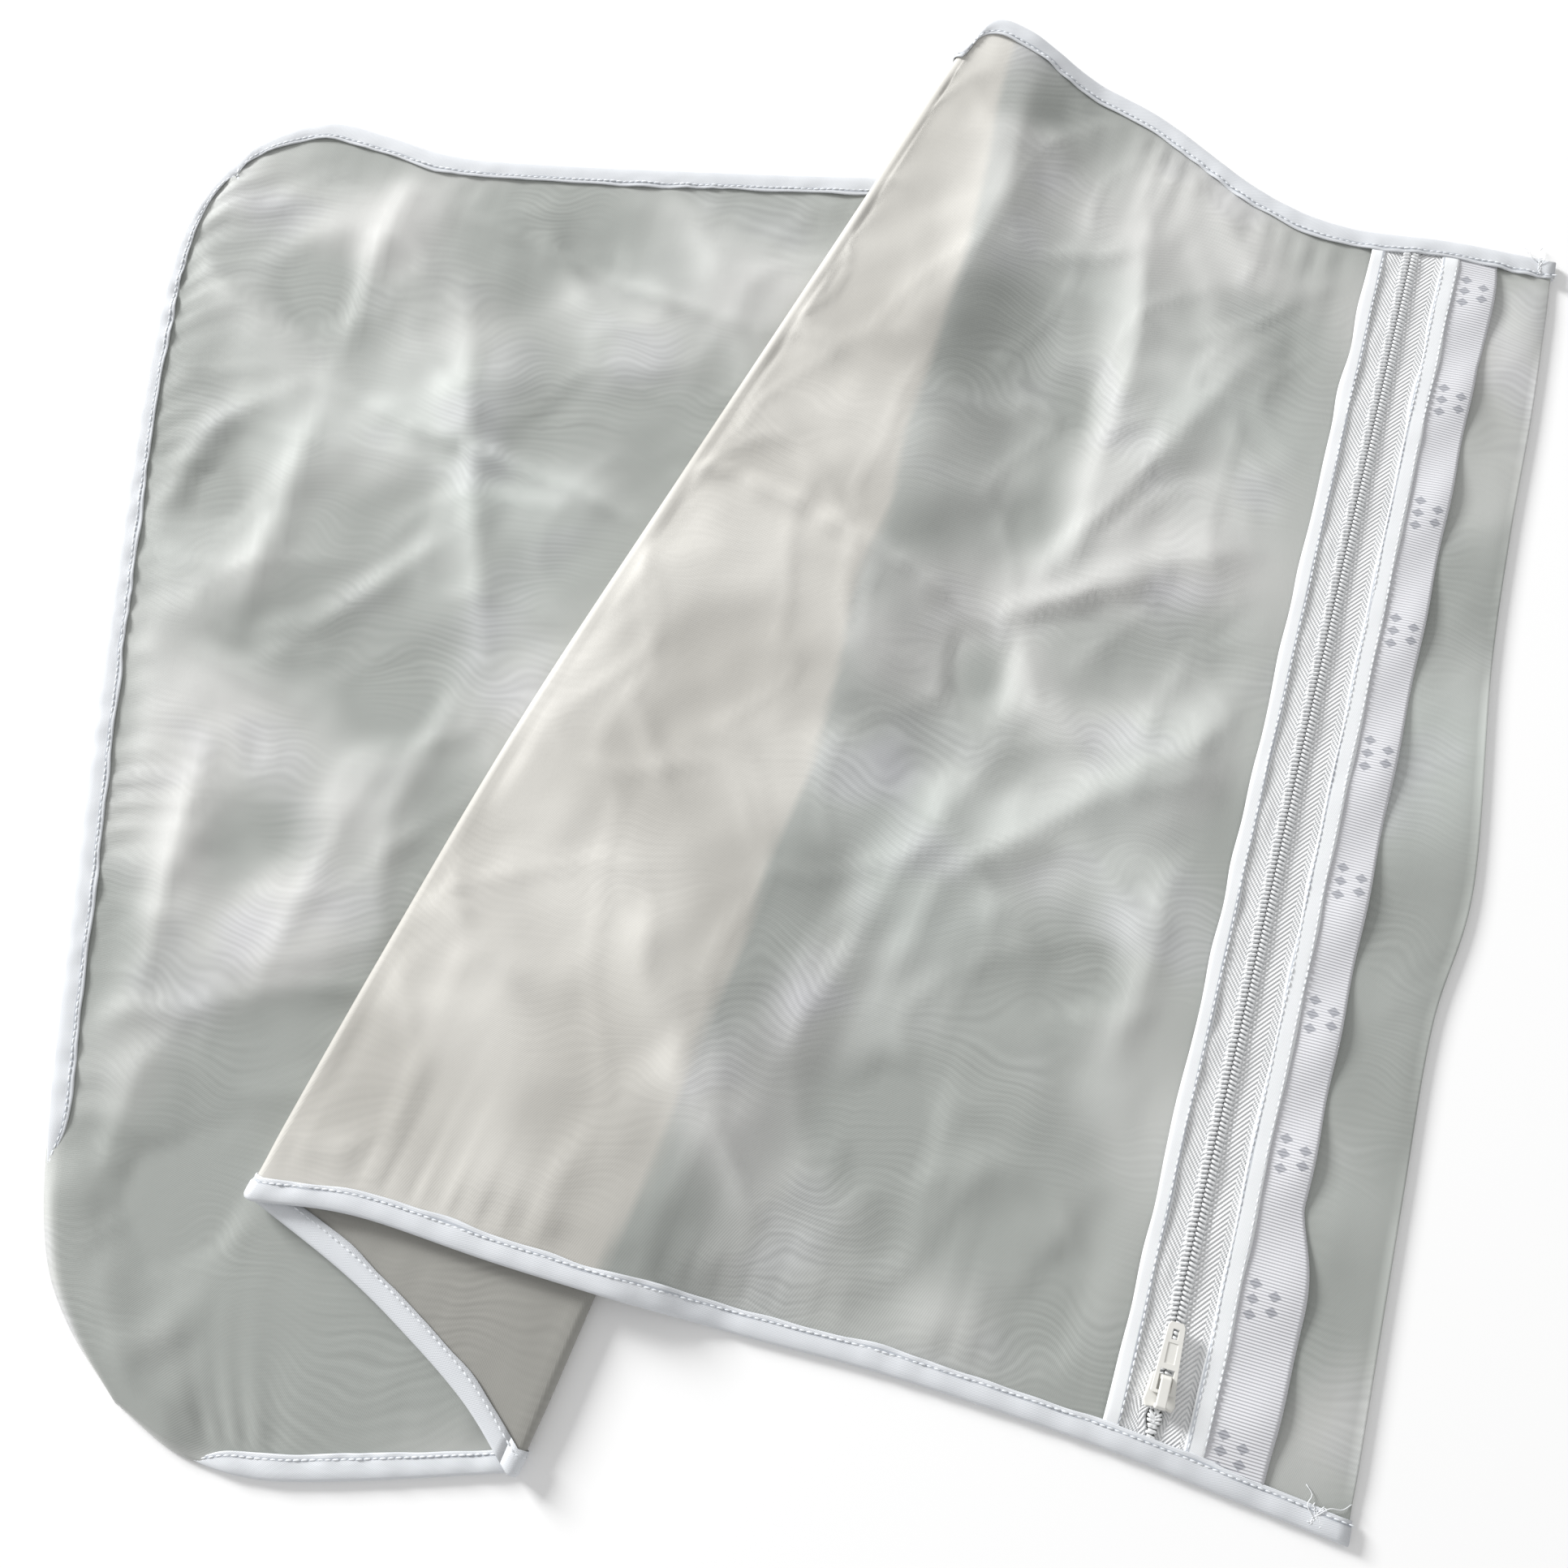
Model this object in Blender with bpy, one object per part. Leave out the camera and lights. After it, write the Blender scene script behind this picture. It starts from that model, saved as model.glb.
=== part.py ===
"""A zipped two-ply mesh laundry bag, laid flat and folded twice across its length.

Lengths are in millimetres until they reach Blender. The bag is laid out as one surface
between its two plies, from the rounded end through two folds to the zip end. The plies,
the edge tape and the zip are all placed from that surface.
"""

import math

import bmesh
import bpy
import numpy as np

# Cloth
PLY = 0.4
PLY_REACH = 0.8
PLY_REACH_EDGE = 0.45
EDGE_FLAT = 9.0
EDGE_BLEND = 16.0
PLY_INSET = 1.7
LEVEL_LOW = 1.6
LEVEL_MIDDLE = 5.8
LEVEL_HIGH = 10.0
FOLD_SETBACK = 3.0
FOLD_STEPS = 6
DROP_START = 2.0
DROP_END = 45.0

# Edge tape
TAPE_WIDTH = 8.3
TAPE_HALF_OUT = 1.6
TAPE_HALF_IN = 1.1
TAPE_WEB = 0.5
JOIN_GAP = 0.5

# Zip: across is measured from the centre of the chain, along from its top end
ZIP_TOP = (218.0, 184.0)
ZIP_BOTTOM = (93.0, -240.0)
ZIP_END_GAP = 9.3
CHAIN_SLOT = 0.4
CHAIN_HALF = 3.1
CHAIN_LEVELS = (3.4, 4.9)
STRINGER_LEVELS = (2.8, 3.3)
STRINGER_LEFT = -13.9
STRINGER_RIGHT = 17.0
FACING_LEVELS = (3.6, 4.0)
FACING_LEFT = (-15.0, -9.6)
FACING_RIGHT = (11.7, 18.4)
MESH_EDGE_LEFT = -10.2
MESH_EDGE_RIGHT = 12.3

# Ribbon
RIBBON_START = 19.0
RIBBON_WIDTH = 17.0
RIBBON_THICK = 0.35
RIBBON_LEVEL = 3.1
RIBBON_LIFT = 2.4
RIBBON_WAVES = 7.0
RIBBON_STEPS = 56

# Slider
SLIDER_ALONG = 436.0
SLIDER_LENGTH = 11.0
SLIDER_PLATE = (5.1, 6.2)
SLIDER_WING = (1.6, 2.5)
LIP_BOTTOM = 3.6
LIP_INNER = 3.45
BLADE_HALF = 0.2
CROWN_HALF_WIDTH = 1.7
CROWN_HALF_LENGTH = 6.1
CROWN_BASE = 6.25
CROWN_TOP = 9.4
SPRING_HALF_LENGTH = 3.3
SPRING_HALF_WIDTH = 0.9
SPRING_LEVELS = (8.1, 8.27)
SPRING_BOW = 0.35
PIVOT_LEVEL = 7.2
PULL_LENGTH = 22.0
PULL_LEVELS = (6.6, 7.8)

# Outline of each folded section, seen from above
END_CURVE = ((-246, 216), (-261, 181), (-268, 117), (-271, 21), (-272, -74), (-272, -150), (-268, -190), (-258, -214), (-240, -238))
LOW_TOP = ((-246, 216), (-228, 231), (-205, 238), (-183, 232), (-157, 223), (-121, 219), (-26, 214), (45, 212))
LOW_BOTTOM = ((-240, -238), (-218, -254), (-194, -261), (-163, -262), (-113, -260))
FOLD_B = ((51, 212), (31, 135), (-8, 8), (-34, -74), (-64, -151), (-110, -260))
MIDDLE_TOP = ((51, 212), (53, 242), (46, 270))
MIDDLE_BOTTOM = ((-110, -260), (-126, -238), (-148, -216), (-170, -197), (-202, -174))
FOLD_A = ((46, 270), (8, 204), (-63, 84), (-118, -10), (-162, -94), (-202, -174))
HIGH_TOP = ((46, 270), (60, 281), (93, 260), (123, 241), (160, 208), (191, 192), (233, 185), (271, 176))
HIGH_BOTTOM = ((-202, -174), (-167, -179), (-117, -195), (-44, -216), (6, -229), (69, -249), (114, -266), (150, -280))
ZIP_END = ((271, 176), (255, 112), (241, 62), (228, 9), (213, -70), (194, -117), (178, -175), (150, -280))

ACROSS = 14
LOW_STEPS = 12
MIDDLE_STEPS = 5
HIGH_STEPS = 11
ZIP_BAND_STEPS = 2
STRIP_STEPS = 3


def metres(points):
    return np.asarray(points, dtype=float) * 0.001


def clear_scene():
    for obj in list(bpy.data.objects):
        bpy.data.objects.remove(obj, do_unlink=True)


def material(name, colour, roughness, metallic=0.0):
    made = bpy.data.materials.new(name)
    made.use_nodes = True
    shader = made.node_tree.nodes["Principled BSDF"]
    shader.inputs["Base Color"].default_value = (*colour, 1.0)
    shader.inputs["Roughness"].default_value = roughness
    shader.inputs["Metallic"].default_value = metallic
    return made


def add_object(name, points, faces, look, origin=(0.0, 0.0, 0.0)):
    """A mesh object from points and faces in millimetres, its origin at the given point."""
    mesh = bpy.data.meshes.new(name)
    mesh.from_pydata([tuple(p) for p in metres(np.asarray(points) - np.asarray(origin))], [], faces)
    shape = bmesh.new()
    shape.from_mesh(mesh)
    bmesh.ops.recalc_face_normals(shape, faces=shape.faces)
    shape.to_mesh(mesh)
    shape.free()
    obj = bpy.data.objects.new(name, mesh)
    obj.location = metres(origin)
    bpy.context.scene.collection.objects.link(obj)
    obj.data.materials.append(look)
    return obj


def smooth(points, count):
    """A smooth curve through the points, cut into equal steps."""
    points = np.asarray(points, dtype=float)
    padded = np.vstack([2 * points[0] - points[1], points, 2 * points[-1] - points[-2]])
    dense = []
    for i in range(len(points) - 1):
        a, b, c, d = padded[i : i + 4]
        t = np.linspace(0, 1, 24, endpoint=False)[:, None]
        dense.append(
            0.5 * (2 * b + (c - a) * t + (2 * a - 5 * b + 4 * c - d) * t**2 + (3 * b - a - 3 * c + d) * t**3)
        )
    dense.append(points[-1:])
    dense = np.vstack(dense)
    run = np.concatenate([[0], np.cumsum(np.linalg.norm(np.diff(dense, axis=0), axis=1))])
    wanted = np.linspace(0, run[-1], count)
    return np.stack([np.interp(wanted, run, dense[:, k]) for k in range(2)], axis=1)


def shifted(curve, distance):
    """The curve moved sideways, to its right when it is walked from the top side to the bottom side."""
    along = np.gradient(curve, axis=0)
    along /= np.linalg.norm(along, axis=1)[:, None]
    return curve + distance * np.stack([along[:, 1], -along[:, 0]], axis=1)


def sideways(curve):
    """Unit vectors square to the curve, towards the zip end of the folded bag."""
    return -(shifted(curve, 1.0) - curve)


def coons(start, end, top, bottom):
    """Rows of points that fill the patch between four curves."""
    rows, across = len(top), len(start)
    u = np.linspace(0, 1, rows)[:, None, None]
    v = np.linspace(0, 1, across)[None, :, None]
    ruled_u = (1 - u) * start[None] + u * end[None]
    ruled_v = (1 - v) * top[:, None] + v * bottom[:, None]
    corners = (1 - u) * ((1 - v) * start[0] + v * start[-1]) + u * ((1 - v) * end[0] + v * end[-1])
    return ruled_u + ruled_v - corners


def fitted(curve, first, last):
    """The curve, moved a little so that its ends meet the two points."""
    t = np.linspace(0, 1, len(curve))[:, None]
    return curve + (1 - t) * (first - curve[0]) + t * (last - curve[-1])


def at_level(patch, level):
    return np.concatenate([patch, np.full(patch.shape[:2] + (1,), float(level))], axis=2)


def fold_rows(centre, out, low, high, side):
    """Rows that turn the bag over, half round a level axis, and their normals on the front side."""
    rows, normals = [], []
    radius = (high - low) / 2
    for angle in np.linspace(-math.pi / 2, math.pi / 2, FOLD_STEPS + 1)[1:-1]:
        flat = centre + out * radius * math.cos(angle)
        level = (low + high) / 2 + radius * math.sin(angle)
        rows.append(np.column_stack([flat, np.full(len(flat), level)]))
        normals.append(side * np.column_stack([out * math.cos(angle), np.full(len(flat), math.sin(angle))]))
    return np.stack(rows), np.stack(normals)


def facing(patch, up):
    """Normals of a level patch."""
    return np.broadcast_to(np.array([0.0, 0.0, up]), patch.shape[:2] + (3,))


def ease(value):
    value = np.clip(value, 0, 1)
    return value * value * (3 - 2 * value)


def zip_axes():
    top, bottom = np.array(ZIP_TOP), np.array(ZIP_BOTTOM)
    down = (bottom - top) / np.linalg.norm(bottom - top)
    return top, down, np.array([-down[1], down[0]])


def crossing(curve, across):
    """Where a curve meets the line that runs beside the zip at this distance across."""
    top, _, right = zip_axes()
    offset = (curve - top) @ right - across
    i = int(np.flatnonzero(np.diff(np.sign(offset)))[0])
    t = offset[i] / (offset[i] - offset[i + 1])
    return curve[i] + t * (curve[i + 1] - curve[i])


def upper_level(patch):
    """Height of the upper section: high over the folds, and down on the floor beyond them."""
    fold = smooth(FOLD_B, 80)
    gap = patch[:, :, None, :] - fold[None, None]
    nearest = np.argmin(np.linalg.norm(gap, axis=3), axis=2)
    beyond = np.take_along_axis(gap, nearest[:, :, None, None], axis=2)[:, :, 0]
    signed = (beyond * sideways(fold)[nearest]).sum(axis=2)
    drop = ease((signed - DROP_START) / (DROP_END - DROP_START))
    return LEVEL_HIGH + (LEVEL_LOW - LEVEL_HIGH) * drop


def lay_out():
    """The surface between the plies, as rows from the rounded end to the zip end.

    Returns the rows, their normals on the front side, and the numbers of the two rows beside the zip.
    """
    n = ACROSS + 1
    fold_b, fold_a = smooth(FOLD_B, n), smooth(FOLD_A, n)
    turn_b = fold_b - FOLD_SETBACK * sideways(fold_b)
    turn_a = fold_a + FOLD_SETBACK * sideways(fold_a)
    end = smooth(END_CURVE, n)
    low = coons(
        end,
        turn_b,
        fitted(smooth(LOW_TOP, LOW_STEPS + 1), end[0], turn_b[0]),
        fitted(smooth(LOW_BOTTOM, LOW_STEPS + 1), end[-1], turn_b[-1]),
    )
    middle = coons(
        turn_b,
        turn_a,
        fitted(smooth(MIDDLE_TOP, MIDDLE_STEPS + 1), turn_b[0], turn_a[0]),
        fitted(smooth(MIDDLE_BOTTOM, MIDDLE_STEPS + 1), turn_b[-1], turn_a[-1]),
    )
    high, marks = upper_section(turn_a)
    fold_at_b, normals_b = fold_rows(turn_b, sideways(turn_b), LEVEL_LOW, LEVEL_MIDDLE, -1)
    fold_at_a, normals_a = fold_rows(turn_a, -sideways(turn_a), LEVEL_MIDDLE, LEVEL_HIGH, 1)
    parts = [at_level(low, LEVEL_LOW), fold_at_b, at_level(middle, LEVEL_MIDDLE), fold_at_a, high]
    normals = [facing(low, 1), normals_b, facing(middle, -1), normals_a, normals_of(high)]
    before = sum(len(p) for p in parts[:-1])
    return np.concatenate(parts), np.concatenate(normals), [before + m for m in marks]


def between(curve, first, last, count):
    """The stretch of a curve between two of its points, in equal steps."""
    i = int(np.argmin(np.linalg.norm(curve - first, axis=1)))
    j = int(np.argmin(np.linalg.norm(curve - last, axis=1)))
    stretch = curve[i : j + 1]
    run = np.concatenate([[0], np.cumsum(np.linalg.norm(np.diff(stretch, axis=0), axis=1))])
    wanted = np.linspace(0, run[-1], count)
    cut = np.stack([np.interp(wanted, run, stretch[:, k]) for k in range(2)], axis=1)
    return fitted(cut, first, last)


def upper_section(turn_a):
    n = ACROSS + 1
    top = fitted(smooth(HIGH_TOP, 400), turn_a[0], np.array(HIGH_TOP[-1], float))
    bottom = fitted(smooth(HIGH_BOTTOM, 400), turn_a[-1], np.array(HIGH_BOTTOM[-1], float))
    lines = [turn_a]
    for across in (MESH_EDGE_LEFT, MESH_EDGE_RIGHT):
        lines.append(np.linspace(crossing(top, across), crossing(bottom, across), n))
    lines.append(smooth(ZIP_END, n))
    patches = []
    for first, last, steps in zip(lines, lines[1:], (HIGH_STEPS, ZIP_BAND_STEPS, STRIP_STEPS)):
        side_top = between(top, first[0], last[0], steps + 1)
        side_bottom = between(bottom, first[-1], last[-1], steps + 1)
        patches.append(coons(first, last, side_top, side_bottom))
    rows = np.concatenate([patches[0], patches[1][1:], patches[2][1:]])
    rows = np.concatenate([rows, upper_level(rows)[:, :, None]], axis=2)
    return rows, (HIGH_STEPS, HIGH_STEPS + ZIP_BAND_STEPS)


def pulled_in(edge, inner, amount):
    """An edge of the surface, moved towards the points inside it by a distance square to the edge."""
    along = np.gradient(edge, axis=0)
    along /= np.linalg.norm(along, axis=1)[:, None]
    step = inner - edge
    square = step - (step * along).sum(axis=1)[:, None] * along
    share = amount / np.linalg.norm(square, axis=1)
    return edge + step * np.minimum(share, 0.45)[:, None]


def inset_rows(rows, amount):
    """The rows pulled in from their sides, and from the rounded end, so that the edge tape closes over them."""
    inset = rows.copy()
    inset[:, 0] = pulled_in(rows[:, 0], rows[:, 1], amount)
    inset[:, -1] = pulled_in(rows[:, -1], rows[:, -2], amount)
    inset[0, 1:-1] = pulled_in(rows[0], rows[1], amount)[1:-1]
    for corner, inner in ((0, 1), (-1, -2)):
        step = rows[1, inner] - rows[0, corner]
        inset[0, corner] = rows[0, corner] + step / np.linalg.norm(step) * amount
    return inset


def normals_of(rows):
    along = np.gradient(rows, axis=0)
    across = np.gradient(rows, axis=1)
    normal = np.cross(across, along)
    return normal / np.linalg.norm(normal, axis=2)[:, :, None]


def reach_of(rows):
    """Half the distance between the plies: small beside the sewn edges, larger inside."""
    side_run = np.linalg.norm(np.diff(rows, axis=1), axis=2)
    from_top = np.concatenate([np.zeros((len(rows), 1)), np.cumsum(side_run, axis=1)], axis=1)
    from_side = np.minimum(from_top, from_top[:, -1:] - from_top)
    end_run = np.linalg.norm(np.diff(rows, axis=0), axis=2)
    from_end = np.concatenate([np.zeros((1, rows.shape[1])), np.cumsum(end_run, axis=0)], axis=0)
    inward = np.minimum(from_side, from_end)
    return PLY_REACH_EDGE + (PLY_REACH - PLY_REACH_EDGE) * ease((inward - EDGE_FLAT) / EDGE_BLEND)


def sheet_object(name, grid, normal, look):
    """A closed sheet of even thickness round a grid of points."""
    points = np.concatenate([(grid + normal * PLY / 2).reshape(-1, 3), (grid - normal * PLY / 2).reshape(-1, 3)])
    return add_object(name, points, grid_faces(*grid.shape[:2]), look)


def build_panels(rows, normal, marks, looks):
    plies = inset_rows(rows, PLY_INSET)
    reach = reach_of(plies)[:, :, None]
    front, back = plies + normal * reach, plies - normal * reach
    last = marks[0] + 1
    sheet_object("mesh_front_panel", front[:last], normal[:last], looks["mesh"])
    out = plies[-1] - plies[-2]
    out /= np.linalg.norm(out, axis=1)[:, None]
    turned = []
    for angle in (-math.pi / 4, 0.0, math.pi / 4):
        turned.append(out * math.cos(angle) + normal[-1] * math.sin(angle))
    turn = plies[-1] + reach[-1] * np.stack(turned)
    grid = np.concatenate([back, turn, front[marks[1] :][::-1]])
    outward = np.concatenate([-normal, np.stack(turned), normal[marks[1] :][::-1]])
    sheet_object("mesh_back_panel", grid, outward, looks["mesh"])


def tape_profile():
    """Outline of the folded edge tape: distance in from the edge, and height."""
    out, inner, corner = TAPE_HALF_OUT, TAPE_HALF_IN, TAPE_WEB
    return [
        (TAPE_WIDTH, -out),
        (corner, -out),
        (0.0, -out + corner),
        (0.0, out - corner),
        (corner, out),
        (TAPE_WIDTH, out),
        (TAPE_WIDTH, inner),
        (corner, inner),
        (corner, -inner),
        (TAPE_WIDTH, -inner),
    ]


def edge_path(rows, normal):
    """Stations of the bag's edge with the directions in and up, from the top zip corner round to the bottom one."""
    n = len(rows)
    keys = [(i, 0, i, 1) for i in range(n - 1, 0, -1)]
    keys += [(0, j, 1, j) for j in range(rows.shape[1])]
    keys += [(i, -1, i, -2) for i in range(1, n)]
    place = np.array([rows[i, j] for i, j, _, _ in keys])
    inner = np.array([rows[a, b] for _, _, a, b in keys])
    up = np.array([normal[i, j] for i, j, _, _ in keys])
    along = np.gradient(place, axis=0)
    along /= np.linalg.norm(along, axis=1)[:, None]
    inward = inner - place
    inward -= (inward * up).sum(axis=1)[:, None] * up
    inward /= np.linalg.norm(inward, axis=1)[:, None]
    return place, inward, up, along


def swept_tape(name, place, inward, up, look):
    profile = tape_profile()
    points = []
    for p, across, normal in zip(place, inward, up):
        points += [p + across * a + normal * b for a, b in profile]
    m = len(profile)
    faces = [list(range(m)), list(range(len(points) - m, len(points)))]
    for i in range(len(place) - 1):
        for k in range(m):
            k_next = (k + 1) % m
            faces.append([i * m + k, i * m + k_next, (i + 1) * m + k_next, (i + 1) * m + k])
    return add_object(name, points, faces, look)


def build_edge_tape(rows, normal, looks):
    place, inward, up, along = edge_path(rows, normal)
    n = len(rows)
    join = n + rows.shape[1] - 2 + LOW_STEPS + FOLD_STEPS + 1
    swept_tape("edge_binding_long", place[: join + 1], inward[: join + 1], up[: join + 1], looks["tape"])
    start = place[join] + along[join] * JOIN_GAP
    short = np.vstack([start, place[join + 1 :]])
    swept_tape("edge_binding_short", short, inward[join:], up[join:], looks["tape"])


def zip_limits(rows):
    """How far along the zip its tapes run, at any distance across, at the two edge tapes."""
    top, down, right = zip_axes()
    limits = []
    for side in (rows[:, 0, :2], rows[:, -1, :2]):
        near = side[-(STRIP_STEPS + ZIP_BAND_STEPS + HIGH_STEPS // 2) :]
        limits.append(((near - top) @ right, (near - top) @ down))
    return limits


def zip_end(limits, across, which):
    far = np.interp(across, *limits[which])
    return far + ZIP_END_GAP if which == 0 else far - ZIP_END_GAP


def zip_point(across, along, level):
    top, down, right = zip_axes()
    flat = top + right * across + down * along
    return (flat[0], flat[1], level)


def zip_prism(name, across, levels, limits, look, pieces=6):
    """A flat strip beside the zip's centre line, cut off at the edge tapes."""
    points = []
    for k in range(pieces + 1):
        for x, level in ((across[0], 0), (across[1], 0), (across[1], 1), (across[0], 1)):
            first, last = zip_end(limits, x, 0), zip_end(limits, x, 1)
            points.append(zip_point(x, first + (last - first) * k / pieces, levels[level]))
    faces = [[0, 1, 2, 3], [len(points) - 4 + k for k in range(4)]]
    for k in range(pieces):
        for c in range(4):
            c_next = (c + 1) % 4
            faces.append([4 * k + c, 4 * k + c_next, 4 * k + 4 + c_next, 4 * k + 4 + c])
    return add_object(name, points, faces, look)


def build_zip(rows, looks):
    limits = zip_limits(rows)
    half = CHAIN_SLOT
    zip_prism("zip_tape_left", (STRINGER_LEFT, -half), STRINGER_LEVELS, limits, looks["zip_tape"])
    zip_prism("zip_tape_right", (half, STRINGER_RIGHT), STRINGER_LEVELS, limits, looks["zip_tape"])
    zip_prism("coil_left", (-CHAIN_HALF, -half), CHAIN_LEVELS, limits, looks["coil"])
    zip_prism("coil_right", (half, CHAIN_HALF), CHAIN_LEVELS, limits, looks["coil"])
    zip_prism("zip_facing_left", FACING_LEFT, FACING_LEVELS, limits, looks["facing"])
    zip_prism("zip_facing_right", FACING_RIGHT, FACING_LEVELS, limits, looks["facing"])
    build_ribbon(limits, looks)


def build_ribbon(limits, looks):
    columns = 4
    hinge = np.array(zip_point(RIBBON_START, zip_end(limits, RIBBON_START, 0) + 1.0, RIBBON_LEVEL))
    grid = []
    for i in range(RIBBON_STEPS + 1):
        t = i / RIBBON_STEPS
        wave = 0.5 - 0.5 * math.cos(2 * math.pi * RIBBON_WAVES * t + 1.4 * math.sin(5 * t))
        sway = 1.3 * math.sin(2 * math.pi * RIBBON_WAVES * t + 0.8)
        row = []
        for j in range(columns + 1):
            s = j / columns
            x = RIBBON_START + s * (RIBBON_WIDTH + sway)
            first, last = zip_end(limits, x, 0) + 1.0, zip_end(limits, x, 1) - 1.0
            row.append(zip_point(x, first + (last - first) * t, RIBBON_LEVEL + RIBBON_LIFT * wave * s * s))
        grid.append(row)
    grid = np.array(grid)
    thick = np.array([0, 0, RIBBON_THICK / 2])
    points = np.concatenate([(grid + thick).reshape(-1, 3), (grid - thick).reshape(-1, 3)])
    add_object("ribbon", points, grid_faces(*grid.shape[:2]), looks["ribbon"], origin=hinge)


def grid_faces(rows, columns):
    """Faces of a closed slab whose top and bottom are grids of points."""
    under = rows * columns
    faces = []
    for i in range(rows - 1):
        for j in range(columns - 1):
            k = i * columns + j
            faces.append([k, k + 1, k + 1 + columns, k + columns])
            faces.append([under + k + columns, under + k + 1 + columns, under + k + 1, under + k])
    rim = list(range(columns)) + [i * columns + columns - 1 for i in range(1, rows)]
    rim += [(rows - 1) * columns + j for j in range(columns - 2, -1, -1)]
    rim += [i * columns for i in range(rows - 2, 0, -1)]
    for a, b in zip(rim, rim[1:] + rim[:1]):
        faces.append([a, a + under, b + under, b])
    return faces


def turned_object(name, rings, look, frame):
    """A closed body from rings of (across, along, level) points, placed on the slider's axes."""
    origin, down, right = frame
    points = [origin + np.append(right * x + down * y, z) for ring in rings for x, y, z in ring]
    m = len(rings[0])
    faces = [list(range(m)), list(range(len(points) - m, len(points)))]
    for i in range(len(rings) - 1):
        for k in range(m):
            faces.append([i * m + k, i * m + (k + 1) % m, (i + 1) * m + (k + 1) % m, (i + 1) * m + k])
    return add_object(name, points, faces, look, origin=origin)


def shield(scale, inset=0.0):
    """Plan of a slider plate: broad where the two sides of the zip come in, narrow where they leave closed."""
    half = SLIDER_LENGTH / 2 - inset
    outline = [(-3.9, -half), (-4.35, -half * 0.45), (-4.7, half * 0.1), (-5.2, half * 0.62), (-4.3, half), (-1.1, half * 0.9)]
    left = [(x * scale + inset, y) for x, y in outline]
    return left + [(-x, y) for x, y in reversed(left)]


def slab(name, outline, levels, look, frame, bevel=0.0):
    rings = [[(x, y, z) for x, y in outline] for z in levels]
    obj = turned_object(name, rings, look, frame)
    if bevel:
        made = obj.modifiers.new("rounded", "BEVEL")
        made.width = bevel * 0.001
        made.segments = 2
        made.limit_method = "ANGLE"
    return obj


def helper(obj):
    obj.hide_render = True
    obj.display_type = "WIRE"
    return obj


def join_to(obj, other):
    made = obj.modifiers.new("join_" + other.name, "BOOLEAN")
    made.operation = "UNION"
    made.solver = "EXACT"
    made.object = other


def box_outline(x0, x1, y0, y1):
    return [(x0, y0), (x1, y0), (x1, y1), (x0, y1)]


def build_slider(looks):
    top, down, right = zip_axes()
    centre = top + down * SLIDER_ALONG
    frame = (np.append(centre, 0.0), down, right)
    body = slab("slider_body", shield(1.0), SLIDER_PLATE, looks["slider"], frame, bevel=0.3)
    half = SLIDER_LENGTH / 2
    wing = helper(slab("wing", shield(0.95, 0.4), SLIDER_WING, looks["slider"], frame, bevel=0.15))
    blade = box_outline(-BLADE_HALF, BLADE_HALF, half - 5.0, half - 1.2)
    blade = helper(slab("blade", blade, (SLIDER_WING[1] - 0.4, SLIDER_PLATE[0] + 0.4), looks["slider"], frame))
    join_to(body, wing)
    join_to(body, blade)
    for side in (-1, 1):
        lip = [(LIP_INNER, -half + 0.5), (4.15, -half + 0.5), (4.55, 0.3), (4.95, half * 0.6), (4.25, half * 0.6), (LIP_INNER, 0.3)]
        lip = [(side * x, y) for x, y in lip]
        levels = (LIP_BOTTOM, SLIDER_PLATE[0] + 0.3)
        join_to(body, helper(slab(f"lip_{side + 1}", lip, levels, looks["slider"], frame)))
    build_crown(looks, frame)
    return build_pull(looks, frame), body


def build_crown(looks, frame):
    """The rounded arch on the slider that holds the pull's cross bar, and the leaf spring under its roof."""
    length, base, roof = CROWN_HALF_LENGTH, CROWN_BASE, CROWN_TOP
    outer = [(-length, base), (-length, roof - 1.0), (-length + 1.0, roof), (length - 1.0, roof), (length, roof - 1.0), (length, base)]
    inner = [(length - 1.9, base), (length - 1.9, roof - 1.1), (-length + 1.9, roof - 1.1), (-length + 1.9, base)]
    profile = outer + inner
    rings = [[(x, y * 0.87, z) for y, z in profile] for x in (-CROWN_HALF_WIDTH, CROWN_HALF_WIDTH)]
    crown = turned_object("slider_crown", rings, looks["slider"], frame)
    made = crown.modifiers.new("rounded", "BEVEL")
    made.width = 0.00035
    made.segments = 2
    made.limit_method = "ANGLE"
    half, low, high, bow = SPRING_HALF_LENGTH, SPRING_LEVELS[0], SPRING_LEVELS[1], SPRING_BOW
    stations = (-half, -half / 2, 0.0, half / 2, half)
    drops = [bow * (y / half) ** 2 for y in stations]
    strip = [(y, high - d) for y, d in zip(stations, drops)] + [(y, low - d) for y, d in reversed(list(zip(stations, drops)))]
    rings = [[(x, y, z) for y, z in strip] for x in (-SPRING_HALF_WIDTH, SPRING_HALF_WIDTH)]
    turned_object("lock_spring", rings, looks["spring"], frame)


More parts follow.
